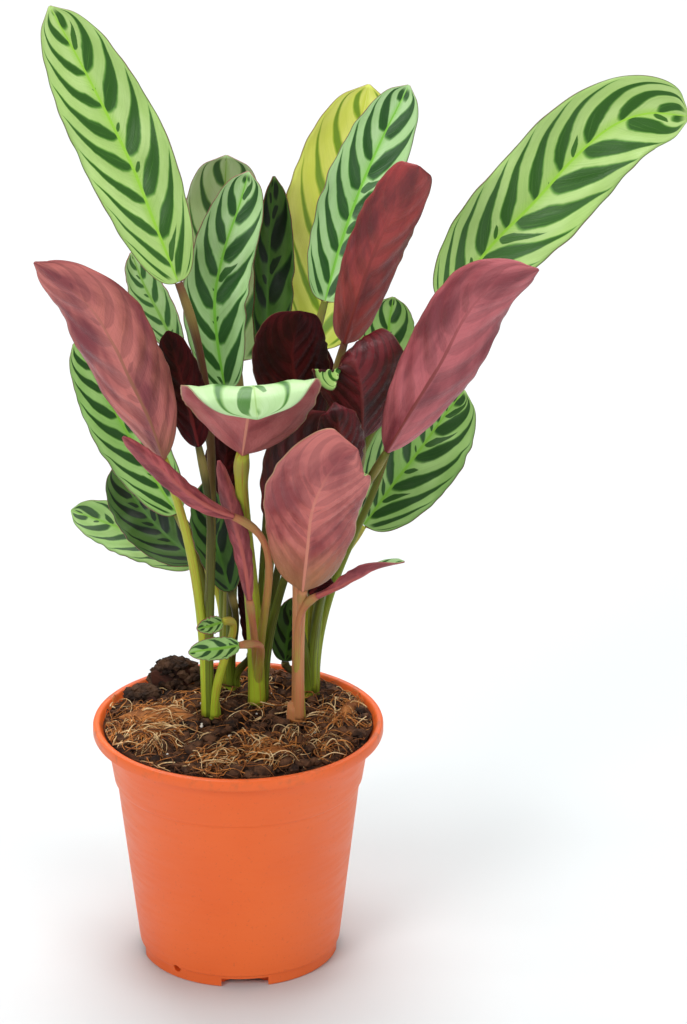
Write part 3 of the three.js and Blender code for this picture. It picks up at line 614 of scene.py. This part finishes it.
def blade_point(leaf, fr, u, pleats):
    v, point, _, up, side = fr
    s = abs(u)
    curl = lerp(*leaf.curl, v) + 0.001
    fold = leaf.fold
    w = half_width(leaf, v)
    across = (w / curl) * (math.sin(fold + curl * s) - math.sin(fold))
    rise = (w / curl) * (math.cos(fold) - math.cos(fold + curl * s))
    high, count = leaf.wave
    phase = 2 * math.pi * count * v + (WAVE_OFFSET if u < 0 else 0)
    wave = high * math.sin(phase) * s * s * math.sin(math.pi * v)
    sweep = v - leaf.aspect * (SWEEP.near * s + SWEEP.far * s ** SWEEP.power)
    relief = pleats * math.sin(2 * math.pi * sweep / leaf.spacing)
    relief *= math.sin(math.pi * s) ** PLEATS.power
    at = Vector((v * PUCKER.along, u * PUCKER.across, leaf.half))
    relief += PUCKER.depth * pleats * noise.noise(at) * s
    at = Vector((v * SCALLOP.along, math.copysign(SCALLOP.apart, u), leaf.half))
    scallop = SCALLOP.depth * noise.noise(at) * s ** 3
    relief *= math.sin(math.pi * v)
    return (point + side * math.copysign(across + scallop * math.sin(math.pi * v), u)
            + up * (rise + wave + relief))


def blade_rows():
    """Stations along the blade, closer together at its round ends."""
    rows = []
    for j in range(FRAME_STEPS):
        even = j / (FRAME_STEPS - 1)
        eased = (1 - math.cos(math.pi * even)) / 2
        rows.append(TIP_START * lerp(even, eased, EASE))
    return rows + [lerp(TIP_START, 1, 0.5), 1.0]


def frame_at(frames, v):
    x = v * FRAME_STEPS
    i = min(int(x), FRAME_STEPS - 1)
    w = x - i
    mixed = [p.lerp(q, w) for p, q in zip(frames[i][1:], frames[i + 1][1:])]
    return (v, mixed[0], *(d.normalized() for d in mixed[1:]))


def blade_surface(leaf):
    """Points of both sides of the blade, the upper one first, and their place on it."""
    frames = blade_frames(leaf)
    rows = blade_rows()
    columns = ACROSS_STEPS + 1
    us = [2 * i / ACROSS_STEPS - 1 for i in range(columns)]
    us = [math.copysign(abs(u) ** SPREAD, u) for u in us]
    deep = PLEATS.under if leaf.turn > UNDERSIDE_TURN else PLEATS.upper
    pleats = deep * min(1, leaf.half / PLEATS.full_half)
    grid = [[blade_point(leaf, frame_at(frames, v), u, pleats) for u in us] for v in rows]
    last = len(rows) - 1
    verts, uvs = [], []
    for face in (1, -1):
        for j, v in enumerate(rows):
            for i, u in enumerate(us):
                ahead = grid[min(last, j + 1)][i] - grid[max(0, j - 1)][i]
                over = grid[j][min(columns - 1, i + 1)] - grid[j][max(0, i - 1)]
                normal = over.cross(ahead).normalized()
                off = abs(u) * half_width(leaf, v) / KEEL.width
                rib = lerp(KEEL.foot, KEEL.tip, v) * math.exp(-off ** 2)
                thick = BLADE_THICKNESS / 2 * lerp(1, MARGIN_THICKNESS, abs(u) ** 4)
                bulge = rib if face < 0 else -KEEL.groove * rib
                verts.append(grid[j][i] + normal * face * (thick + bulge))
                uvs.append((u / 2 + 0.5, v))
    return verts, uvs, columns, last


def blade_faces(columns, last):
    """Faces of the closed blade, and for each its material: 0 above, 1 below and at the rim."""
    under = columns * (last + 1)
    faces, kinds = [], []
    for j in range(last):
        for i in range(columns - 1):
            a = j * columns + i
            faces.append((a, a + 1, a + 1 + columns, a + columns))
            faces.append((under + a, under + a + columns, under + a + columns + 1, under + a + 1))
            kinds += [0, 1]
        for a, flip in ((j * columns, 1), (j * columns + columns - 1, 0)):
            quad = (a, a + columns, under + a + columns, under + a)
            faces.append(quad if flip else quad[::-1])
            kinds.append(1)
    for j, flip in ((0, 0), (last, 1)):
        for i in range(columns - 1):
            a = j * columns + i
            quad = (a, under + a, under + a + 1, a + 1)
            faces.append(quad if not flip else quad[::-1])
            kinds.append(1)
    return faces, kinds


def build_blade(name, leaf):
    leaf.aspect = leaf.half / Route(leaf.path).run[-1]
    verts, uvs, columns, last = blade_surface(leaf)
    faces, kinds = blade_faces(columns, last)
    seed = (sum(map(ord, name)) % 97) / 9.7
    looks = [upper_material(name, leaf, seed), under_material(name, leaf, seed)]
    obj = new_piece(f"blade_{name}", verts, faces, looks, f"leaf_{leaf.kind}")
    mark_faces(obj.data, kinds, uvs)
    face_outward(obj.data)
    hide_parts(f"leaf_{name}")


# ---------- stalks ----------
STALK = Record(base=2.1, top=1.35, fall=0.8, sides=14, steps=40, parts=240, ring=0.5, rise=0.45,
               reach=0.3)
JOINT = Record(swell=0.45, at=0.93, length=0.06)
JOINT_COLOUR = (170, 150, 84)
# Colours low on the stalk and high up, and the blush that streaks it.
STALK_COLOURS = {
    "olive": ((150, 172, 42), (104, 112, 34), (120, 84, 40)),
    "lime": ((182, 206, 52), (184, 190, 62), (186, 104, 52)),
    "blush": ((168, 186, 58), (190, 128, 82), (190, 92, 80)),
    "brown": ((144, 154, 44), (104, 62, 38), (84, 32, 28)),
    "tan": ((204, 138, 84), (206, 146, 100), (214, 108, 86)),
    "shade": ((116, 136, 36), (76, 74, 26), (70, 34, 20)),
}


def stalk_material(name, low, high, blush):
    n = Nodes(name)
    x, v, _ = n.uv()
    colour = n.mix(n.step(v, 0.05, 0.75), low, high)
    streak = n.noise(1.0, 4.0, n.join(n.mul(x, 9.0), n.mul(v, 3.0)))
    colour = n.tint(colour, n.step(streak, 0.48, 0.68), 0.75, blush)
    swell = n.mul(n.step(v, 0.86, 0.93), n.step(v, 1.0, 0.95))
    colour = n.tint(colour, swell, 0.5, JOINT_COLOUR)
    lines = n.noise(1.0, 2.0, n.join(n.mul(x, 60.0), n.mul(v, 3.0)))
    colour = n.tint(colour, n.step(lines, 0.5, 0.8), 0.25, blush)
    n.bump(lines, 0.0003, 0.8)
    return n.finish(colour, n.mul_add(streak, 0.2, 0.38), 0.3)


def stalk_tube(start, row, verts, faces, uvs):
    """A stalk that leaves the plug upward and meets the blade's foot along its midrib."""
    _, foot, along, _, _ = blade_frames(row)[0]
    foot = foot - along * GAP
    length = (foot - start).length
    up = start + Vector((0, 0, length * STALK.rise))
    p = [start, up, foot - along * length * STALK.reach, foot]

    def bezier(t):
        s = 1 - t
        return p[0] * s ** 3 + p[1] * 3 * s * s * t + p[2] * 3 * s * t * t + p[3] * t ** 3

    run = run_lengths([bezier(i / STALK.parts) for i in range(STALK.parts + 1)])
    steps, sides = STALK.steps, STALK.sides
    ref = Vector((1, 0, 0))
    base = len(verts)
    for j in range(steps + 1):
        v = j / steps
        t = curve_param(run, v)
        centre = bezier(t)
        along = (bezier(min(1, t + 0.002)) - bezier(max(0, t - 0.002))).normalized()
        ref = (ref - along * ref.dot(along)).normalized()
        other = along.cross(ref)
        swell = JOINT.swell * math.exp(-(((v - JOINT.at) / JOINT.length) ** 2))
        radius = row.stalk * (lerp(STALK.base, STALK.top, v ** STALK.fall) + swell)
        for i in range(sides):
            angle = around(i, sides)
            verts.append(centre + ref * radius * math.cos(angle) + other * radius * math.sin(angle))
            uvs.append((abs(2 * i / sides - 1), v))
    close_tube(faces, base, steps, sides)


def sheathed_foot(shoot, verts, faces, uvs):
    """The ribbed taper at the foot of a shoot, down into the mix."""
    x, y = shoot.at
    base = len(verts)
    for j in range(PLUG.rings + 1):
        t = j / PLUG.rings
        z = lerp(PLUG.bottom, PLUG.top + PLUG.rise, t)
        for i in range(PLUG.sides):
            angle = around(i, PLUG.sides)
            rib = 1 + 0.06 * math.cos(5 * angle + 2 * t) + 0.02 * math.sin(11 * angle)
            radius = shoot.plug * lerp(0.98, 0.74, t * t) * rib
            verts.append(Vector((x + radius * math.cos(angle), y + radius * math.sin(angle), z)))
            uvs.append((abs(2 * i / PLUG.sides - 1), 0.12 * t))
    close_tube(faces, base, PLUG.rings, PLUG.sides)


def build_shoot(name, shoot):
    verts, faces, uvs, kinds = [], [], [], []
    x, y = shoot.at
    names = list(STALK_COLOURS)
    ring = shoot.plug * STALK.ring
    for row in LEAVES.values():
        if row.shoot != name:
            continue
        toward = math.atan2(row.path[0][1] - y, row.path[0][0] - x)
        start = Vector((x + ring * math.cos(toward), y + ring * math.sin(toward),
                        PLUG.top - PLUG.sink))
        stalk_tube(start, row, verts, faces, uvs)
        kinds += [names.index(row.tone)] * (len(faces) - len(kinds))
    sheathed_foot(shoot, verts, faces, uvs)
    tan = name == "front"
    kinds += [names.index("tan" if tan else "olive")] * (len(faces) - len(kinds))
    mats = [stalk_material(f"stalk_{key}_{name}", *STALK_COLOURS[key]) for key in names]
    obj = new_piece(f"shoot_{name}", verts, faces, mats, "stem_tan" if tan else "stem_green")
    mark_faces(obj.data, kinds, uvs)
    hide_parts(f"stems_{name}")


# ---------- pot ----------
POT_SEGMENTS = 128
CUTTER_SIDES = 28
SHARP_ANGLE = 38


def pot_material():
    n = Nodes("moulded_terracotta")
    p = n.object_coords()
    x, y, z = n.split(p)
    cloud = n.noise(14.0, 4.0, p)
    speck = n.noise(900.0, 2.0, p)
    drag = n.noise(1.0, 3.0, n.join(n.mul(x, 60.0), n.mul(y, 60.0), n.mul(z, 500.0)))
    colour = n.mix(n.step(cloud, 0.3, 0.7), (236, 99, 32), (242, 108, 40))
    colour = n.tint(colour, n.step(speck, 0.62, 0.72), 0.25, (190, 84, 44))
    dust = n.mul(n.step(z, 0.094, 0.1035), n.step(n.noise(160.0, 5.0, p), 0.5, 0.68))
    colour = n.tint(colour, dust, 0.4, (160, 92, 56))
    rough = n.mul_add(n.step(drag, 0.3, 0.7), 0.12, 0.4)
    n.bump(n.add(n.mul(speck, 0.6), n.mul(drag, 0.3)), 0.00005, 0.5)
    return n.finish(colour, rough, 0.5)


def pot_outline():
    """Radius and height round the wall, from the middle of the underside to that of the floor."""
    top, rim, step = POT.height, POT.rim, POT.step
    lip = top - POT.rim_depth
    foot, low, wall, neck = POT.foot, POT.foot_step, POT.wall, POT.neck
    main, collar = POT.main, POT.collar
    inner, outer, channel = CHANNEL.inner, CHANNEL.outer, CHANNEL.height
    return [
        (0, 0), (PAD, 0), (inner, channel), (outer, channel), (outer + CHANNEL.slope, 0),
        (foot - 0.6, 0), (foot, 0.6), (foot + 0.2, low - 0.3), (foot + 0.5, low + 0.3),
        (foot + 0.9, low + 0.6), (main - 0.1, step - 1.4), (main + 0.2, step - 0.8),
        (collar - 0.2, step - 0.3), (collar + 0.1, step + 0.3), (neck - 0.2, lip - 1.2),
        (neck + 0.3, lip - 0.2), (neck + 0.9, lip), (rim - 0.9, lip), (rim - 0.3, lip + 0.3),
        (rim, lip + 1), (rim, top - 1.3), (rim - 0.3, top - 0.4), (rim - 1, top), (rim - 2.2, top),
        (rim - 2.9, top - 0.5), (rim - 3.2, top - 1.2), (neck - wall, lip - 1),
        (collar - wall, step), (main - wall, step - 1), (foot - wall + 0.4, FLOOR_TOP + 2),
        (foot - wall - 2, FLOOR_TOP), (0, FLOOR_TOP),
    ]


def turned_mesh(outline, segments):
    """Vertices and faces of an outline turned about Z, which it meets at both ends."""
    verts, faces, rings = [], [], []
    for r, z in outline:
        count = segments if r else 1
        rings.append(range(len(verts), len(verts) + count))
        for i in range(count):
            verts.append((*on_circle(r, i, segments), z))
    for a, b in zip(rings, rings[1:]):
        for i in range(segments):
            k = (i + 1) % segments
            if len(a) == 1:
                faces.append((a[0], b[i], b[k]))
            elif len(b) == 1:
                faces.append((a[i], a[k], b[0]))
            else:
                faces.append((a[i], a[k], b[k], b[i]))
    return verts, faces


def cutter(name, shape, matrix):
    """A block of three sizes, or a rod of radius and length, for cutting."""
    bm = bmesh.new()
    if len(shape) == 3:
        size = Matrix.Diagonal((*(s * MM for s in shape), 1))
        bmesh.ops.create_cube(bm, size=1, matrix=matrix @ size)
    else:
        radius, length = (s * MM for s in shape)
        bmesh.ops.create_cone(bm, cap_ends=True, segments=CUTTER_SIDES, radius1=radius,
                              radius2=radius, depth=length, matrix=matrix)
    mesh = bpy.data.meshes.new(name)
    bm.to_mesh(mesh)
    bm.free()
    return add_object(name, mesh)


def pot_cutters():
    cutters = []
    block = (NOTCH.width, NOTCH.length, NOTCH.height * 2)
    for i in range(NOTCH.count):
        turn = math.radians(NOTCH.turn + 360 / NOTCH.count * i)
        out = Matrix.Translation((0, -(POT.foot - NOTCH.inset) * MM, 0))
        cutters.append(cutter(f"cut_notch_{i}", block, Matrix.Rotation(turn, 4, "Z") @ out))
    for i in range(DRAIN.count):
        at = Vector((*on_circle(DRAIN.ring, i + 0.5, DRAIN.count), DRAIN.z))
        rod = (DRAIN.radius, DRAIN.length)
        cutters.append(cutter(f"cut_drain_{i}", rod, Matrix.Translation(at * MM)))
    turn = Matrix.Rotation(math.radians(-SIDE_DRAIN.turn), 4, "Z")
    out = Matrix.Translation((POT.foot * MM, 0, SIDE_DRAIN.z * MM))
    rod = (SIDE_DRAIN.radius, SIDE_DRAIN.length)
    cutters.append(cutter("cut_side", rod, turn @ out @ Matrix.Rotation(math.pi / 2, 4, "Y")))
    return cutters


def build_pot():
    verts, faces = turned_mesh(pot_outline(), POT_SEGMENTS)
    pot = new_piece("pot_moulded", verts, faces, [pot_material()], "terracotta_plastic")
    face_outward(pot.data)
    cutters = pot_cutters()
    for obj in cutters:
        mod = pot.modifiers.new(obj.name, "BOOLEAN")
        mod.operation = "DIFFERENCE"
        mod.solver = "EXACT"
        mod.object = obj
    bpy.context.view_layer.update()
    mesh = bpy.data.meshes.new_from_object(pot.evaluated_get(bpy.context.evaluated_depsgraph_get()))
    pot.modifiers.clear()
    pot.data = mesh
    for obj in cutters:
        bpy.data.objects.remove(obj, do_unlink=True)
    mesh.polygons.foreach_set("use_smooth", [True] * len(mesh.polygons))
    mesh.set_sharp_from_angle(angle=math.radians(SHARP_ANGLE))
    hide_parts("pot")


# ---------- soil ----------
SOIL_RINGS = 60
SOIL_SEGMENTS = 160
# Roughness of the mix, coarse to fine: depth, layer of the noise, and its scale.
SOIL_ROUGH = [(2.4, 3, 0.16), (1.7, 8, 0.45), (0.9, 5, 1.1)]
# Below the top the mix narrows inside the pot: how far in from the throat, and at what height.
SOIL_SKIRT = [(0, 96.5), (0.6, 92)]


def soil_top(x, y):
    r = math.hypot(x, y) / POT.neck
    crown = SOIL.edge + (SOIL.crown - SOIL.edge) * (1 - r * r)
    humps = SOIL.relief * math.sin(x * HUMPS.x + HUMPS.shift)
    return crown + humps * math.cos(y * HUMPS.y - x * HUMPS.skew)


def soil_material():
    n = Nodes("potting_mix")
    p = n.object_coords()
    grain = n.noise(420.0, 6.0, p, 0.65)
    lump = n.noise(70.0, 4.0, p)
    colour = n.mix(n.step(lump, 0.35, 0.65), (26, 15, 10), (66, 40, 25))
    colour = n.mix(n.step(grain, 0.5, 0.75), colour, (128, 78, 44))
    n.bump(n.add(grain, lump), 0.0012, 1.0)
    return n.finish(colour, 0.92, 0.2)


def build_soil():
    rings, segments, edge = SOIL_RINGS, SOIL_SEGMENTS, SOIL.radius
    verts, faces = [(0, 0, soil_top(0, 0))], []
    for j in range(1, rings + 1):
        r = edge * j / rings
        for i in range(segments):
            x, y = on_circle(r, i, segments)
            rough = 0
            for depth, layer, scale in SOIL_ROUGH:
                rough += depth * noise.noise(Vector((x, y, layer)) * scale)
            fade = min(1, (edge - r) / 2)
            verts.append((x, y, soil_top(x, y) + rough * (0.35 + 0.65 * fade) * 0.9))
    for i in range(segments):
        faces.append((0, 1 + i, 1 + (i + 1) % segments))
    for j in range(rings - 1):
        for i in range(segments):
            a = 1 + j * segments + i
            b = 1 + j * segments + (i + 1) % segments
            faces.append((a, a + segments, b + segments, b))
    base = len(verts)
    for inset, z in SOIL_SKIRT:
        r = SOIL.throat - inset
        for i in range(segments):
            verts.append((*on_circle(r, i, segments), z))
    rim = 1 + (rings - 1) * segments
    for i in range(segments):
        k = (i + 1) % segments
        faces.append((rim + i, base + i, base + k, rim + k))
        faces.append((base + i, base + segments + i, base + segments + k, base + k))
    faces.append(tuple(base + segments + i for i in range(segments))[::-1])
    obj = new_piece("soil_surface", verts, faces, [soil_material()], "potting_soil")
    face_outward(obj.data)
    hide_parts("soil")


# ---------- what lies on the mix ----------
LITTER_REACH = 55.2  # grains end here, short of the rim
FIBRE_REACH = 55
FIBRE_SIDES = 5
FIBRE_STEPS = 11
# How many are tried, and how far out from the middle.
CRUMBS = Record(tries=1100, reach=55)
STRAND_REACH = 54
PERLITE = Record(tries=34, reach=52)
CRUMB_SIZES = (0.8, 1.1, 1.5, 2.4)
# Loose strands: how many, the longest, and how high they arch. In the order straw, rust, dark.
STRANDS = [(90, 24, 3), (150, 26, 3.5), (260, 24, 2.5)]
# Locks of coir: middle in x and y, heading in degrees, length, strands.
LOCKS = [(-42, -8, 70, 24, 110), (-33, 2, 22, 28, 170), (-32, -18, -22, 28, 130),
         (-24, 12, 35, 18, 40), (-40, 20, 60, 14, 24), (14, -34, 12, 20, 60),
         (-6, -40, -10, 22, 70), (42, 0, 70, 22, 60), (46, 18, 95, 16, 36),
         (36, -22, 40, 18, 50), (4, -24, 150, 18, 50), (22, -20, 60, 14, 40)]
# The locks left of this line are combed straighter than the rest.
COMBED = Record(left_of=-20, spread=14, spread_elsewhere=34)
# The two bark pieces, turned roughly along X: middle, half sizes.
BARK = [((-40, 22), (7.5, 5.5, 5)), ((-27, 37), (10.5, 7, 10.5))]
BARK_RISE = 0.25
BARK_CRUMBS = 150
SEED = 7
CHIPS = ("husk_left", "husk_front", "husk_right", "bark_left", "bark_back")


def plain_material(name, light, dark, scale, rough=0.85, bump=0.0004):
    n = Nodes(name)
    p = n.object_coords()
    colour = n.mix(n.step(n.noise(scale, 4.0, p), 0.3, 0.7), dark, light)
    n.bump(n.noise(scale * 4, 3.0, p), bump, 0.9)
    return n.finish(colour, rough, 0.25)


def add_lump(rng, verts, faces, centre, size):
    """A rough pebble: a squashed icosahedron with jittered corners."""
    g = (1 + 5 ** 0.5) / 2
    corners = [(-1, g, 0), (1, g, 0), (-1, -g, 0), (1, -g, 0), (0, -1, g), (0, 1, g),
               (0, -1, -g), (0, 1, -g), (g, 0, -1), (g, 0, 1), (-g, 0, -1), (-g, 0, 1)]
    tris = [(0, 11, 5), (0, 5, 1), (0, 1, 7), (0, 7, 10), (0, 10, 11), (1, 5, 9), (5, 11, 4),
            (11, 10, 2), (10, 7, 6), (7, 1, 8), (3, 9, 4), (3, 4, 2), (3, 2, 6), (3, 6, 8),
            (3, 8, 9), (4, 9, 5), (2, 4, 11), (6, 2, 10), (8, 6, 7), (9, 8, 1)]
    spin = Matrix.Rotation(rng.uniform(0, 6.28), 3, "Z")
    spin = spin @ Matrix.Rotation(rng.uniform(-0.5, 0.5), 3, "X")
    base = len(verts)
    for c in corners:
        q = Vector(c).normalized() * rng.uniform(0.7, 1.2)
        verts.append(Vector(centre) + spin @ Vector((q.x * size[0], q.y * size[1], q.z * size[2])))
    faces += [tuple(base + i for i in t) for t in tris]


def add_crumb(rng, group, at, size):
    add_lump(rng, *group, at, (size * 1.3, size, size * 0.8))


def add_fibre(verts, faces, points, radius):
    base = len(verts)
    last = len(points) - 1
    for j, q in enumerate(points):
        ahead = (points[min(last, j + 1)] - points[max(0, j - 1)]).normalized()
        ref = ahead.cross(Vector((0.2, 0.1, 1))).normalized()
        other = ahead.cross(ref)
        thin = radius * (1 - 0.6 * j / last)
        for i in range(FIBRE_SIDES):
            angle = around(i, FIBRE_SIDES)
            verts.append(q + ref * thin * math.cos(angle) + other * thin * math.sin(angle))
    close_tube(faces, base, last, FIBRE_SIDES)


def fibre_path(rng, x, y, length, lift, heading, bend):
    """A curling strand that stays on the mix and dips into it at both ends."""
    points = []
    curl = rng.uniform(-bend, bend)
    shake = rng.uniform(0, 2 * math.pi)
    for j in range(FIBRE_STEPS):
        t = j / (FIBRE_STEPS - 1)
        r = math.hypot(x, y)
        if r > FIBRE_REACH:
            x, y = x * FIBRE_REACH / r, y * FIBRE_REACH / r
        arch = (lift + 0.7 * math.sin(5 * t + shake)) * math.sin(math.pi * t)
        points.append(Vector((x, y, soil_top(x, y) + 0.4 + arch)))
        x += length / FIBRE_STEPS * math.cos(heading)
        y += length / FIBRE_STEPS * math.sin(heading)
        heading += curl + rng.uniform(-0.3, 0.3)
    return points


def clear_of_shoots(x, y, margin):
    return all(math.dist((x, y), s.at) > s.plug + margin for s in SHOOTS.values())


def somewhere(rng, reach):
    r, angle = reach * math.sqrt(rng.random()), rng.uniform(0, 2 * math.pi)
    return r * math.cos(angle), r * math.sin(angle)


def build_crumbs(rng):
    crumbs = ([], [])
    for _ in range(CRUMBS.tries):
        x, y = somewhere(rng, CRUMBS.reach)
        size = rng.choice(CRUMB_SIZES) * rng.uniform(0.7, 1.3)
        if math.hypot(x, y) + size > LITTER_REACH or not clear_of_shoots(x, y, size):
            continue
        add_crumb(rng, crumbs, (x, y, soil_top(x, y) + size * 0.3), size)
    look = plain_material("crumb", (108, 72, 48), (34, 20, 14), 200.0)
    new_piece("crumbs", *crumbs, [look], "potting_soil", smooth=False)


def build_fibres(rng):
    """Loose strands all over, and locks of coir with the same three colours."""
    straw, rust, dark = ([], []), ([], []), ([], [])
    for group, (count, longest, lift) in zip((straw, rust, dark), STRANDS):
        for _ in range(count):
            x, y = somewhere(rng, STRAND_REACH)
            path = fibre_path(rng, x, y, rng.uniform(8, longest), rng.uniform(0, lift),
                              rng.uniform(0, 2 * math.pi), 0.6)
            add_fibre(*group, path, rng.uniform(0.14, 0.36))
    for cx, cy, turn, length, count in LOCKS:
        spread = COMBED.spread if cx < COMBED.left_of else COMBED.spread_elsewhere
        for k in range(count):
            x, y = cx + rng.gauss(0, 4.5), cy + rng.gauss(0, 3.5)
            heading = math.radians(turn + rng.gauss(0, spread))
            reach = length * rng.uniform(0.5, 1.1)
            x -= reach / 2 * math.cos(heading)
            y -= reach / 2 * math.sin(heading)
            path = fibre_path(rng, x, y, reach, rng.uniform(0.5, 4.5), heading, 0.28)
            add_fibre(*(rust, straw, rust, dark)[k % 4], path, rng.uniform(0.14, 0.38))
    for name, group, light, shade, slot in (
            ("fibres", straw, (246, 218, 166), (192, 146, 90), "coir_husk"),
            ("coir_locks", rust, (216, 142, 72), (130, 72, 32), "coir_husk"),
            ("roots", dark, (134, 88, 54), (52, 28, 18), "bark")):
        look = plain_material(f"strand_{name}", light, shade, 220.0, 0.7)
        new_piece(name, *group, [look], slot)


def build_bark_crust(rng):
    crust = ([], [])
    for (cx, cy), (along, across, up) in BARK:
        foot = soil_top(cx, cy) + up * BARK_RISE
        for _ in range(BARK_CRUMBS):
            spin, lift = rng.uniform(0, 2 * math.pi), rng.uniform(-0.1, 1.5)
            x = cx + along * math.cos(lift) * math.cos(spin)
            y = cy + across * math.cos(lift) * math.sin(spin)
            size = rng.uniform(0.9, 2.3)
            if math.hypot(x, y) + size < LITTER_REACH:
                add_crumb(rng, crust, (x, y, foot + up * 0.95 * math.sin(lift)), size)
    look = plain_material("bark_crumb", (84, 58, 40), (24, 13, 9), 160.0)
    new_piece("bark_crust", *crust, [look], "bark", smooth=False)


def build_perlite(rng):
    grit = ([], [])
    for _ in range(PERLITE.tries):
        x, y = somewhere(rng, PERLITE.reach)
        if clear_of_shoots(x, y, 1):
            size = rng.uniform(0.5, 1.0)
            add_lump(rng, *grit, (x, y, soil_top(x, y) + 1.2), (size, size, size * 0.8))
    look = plain_material("perlite", (238, 232, 220), (205, 196, 180), 500.0)
    new_piece("perlite", *grit, [look], "coir_husk")


def build_litter():
    rng = random.Random(SEED)
    build_crumbs(rng)
    build_fibres(rng)
    build_bark_crust(rng)
    build_perlite(rng)


def dress_chips():
    husk = plain_material("husk_piece", (176, 112, 58), (104, 58, 28), 140.0)
    bark = plain_material("bark_piece", (84, 46, 34), (34, 18, 14), 90.0, 0.9, 0.0008)
    for name in CHIPS:
        for slot in bpy.data.objects[name].material_slots:
            slot.material = husk if name.startswith("husk") else bark


# ---------- stage, light and camera ----------
FLOOR_HALF = 6
WORLD_STRENGTH = 0.3
# Area lights: where, what they point at, size and power.
LIGHTS = {
    "overhead": ((0.0, 0.0, 2.2), (0, 0, 0), 0.95, 28),
    "backdrop": ((0.0, 2.0, 2.4), (0, 1.7, 0), 2.4, 72),
    "key": ((-1.1, -1.6, 1.3), (0, 0, 0.2), 0.75, 18),
    "fill": ((1.5, -1.3, 0.7), (0, 0, 0.2), 1.2, 8),
}
CAMERA = Record(distance=2.0, rise=22.1, target=(0.0435, 0, 0.1955), sensor=36, far=50,
                focal_pixels=4925, frame_pixels=1024)


def build_stage():
    mesh = bpy.data.meshes.new("floor")
    s = FLOOR_HALF
    mesh.from_pydata([(-s, -s, 0), (s, -s, 0), (s, s, 0), (-s, s, 0)], [], [(0, 1, 2, 3)])
    n = Nodes("pale_floor")
    p = n.object_coords()
    n.bump(n.noise(40.0, 2.0, p), 0.0002, 0.1)
    colour = n.mix(n.noise(3.0, 2.0, p), (211, 216, 217), (214, 219, 220))
    mesh.materials.append(n.finish(colour, 0.85, 0.5))
    floor = add_object("floor", mesh)
    floor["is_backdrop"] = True


def build_light():
    world = bpy.data.worlds.new("studio")
    world.use_nodes = True
    world.node_tree.nodes["Background"].inputs[0].default_value = (1, 1, 1, 1)
    world.node_tree.nodes["Background"].inputs[1].default_value = WORLD_STRENGTH
    bpy.context.scene.world = world
    for name, (at, look, size, power) in LIGHTS.items():
        data = bpy.data.lights.new(name, "AREA")
        data.size = size
        data.energy = power
        obj = add_object(name, data)
        obj.location = at
        obj.rotation_euler = (Vector(look) - Vector(at)).to_track_quat("-Z", "Y").to_euler()


def build_camera():
    away, rise = CAMERA.distance, math.radians(CAMERA.rise)
    data = bpy.data.cameras.new("camera")
    data.sensor_fit = "AUTO"
    data.sensor_width = CAMERA.sensor
    data.lens = CAMERA.focal_pixels / CAMERA.frame_pixels * CAMERA.sensor
    data.clip_end = CAMERA.far
    obj = add_object("camera", data)
    back = Vector((0, -away * math.cos(rise), away * math.sin(rise)))
    obj.location = Vector(CAMERA.target) + back
    obj.rotation_euler = (math.pi / 2 - rise, 0, 0)
    bpy.context.scene.camera = obj


build_camera()
build_light()
build_stage()
build_pot()
build_soil()
build_litter()
dress_chips()
for shoot_name, shoot_row in SHOOTS.items():
    build_shoot(shoot_name, shoot_row)
for blade_name, blade_row in LEAVES.items():
    build_blade(blade_name, blade_row)
view = bpy.context.scene.view_settings
view.view_transform = "Standard"
view.look = "None"

seen_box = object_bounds()
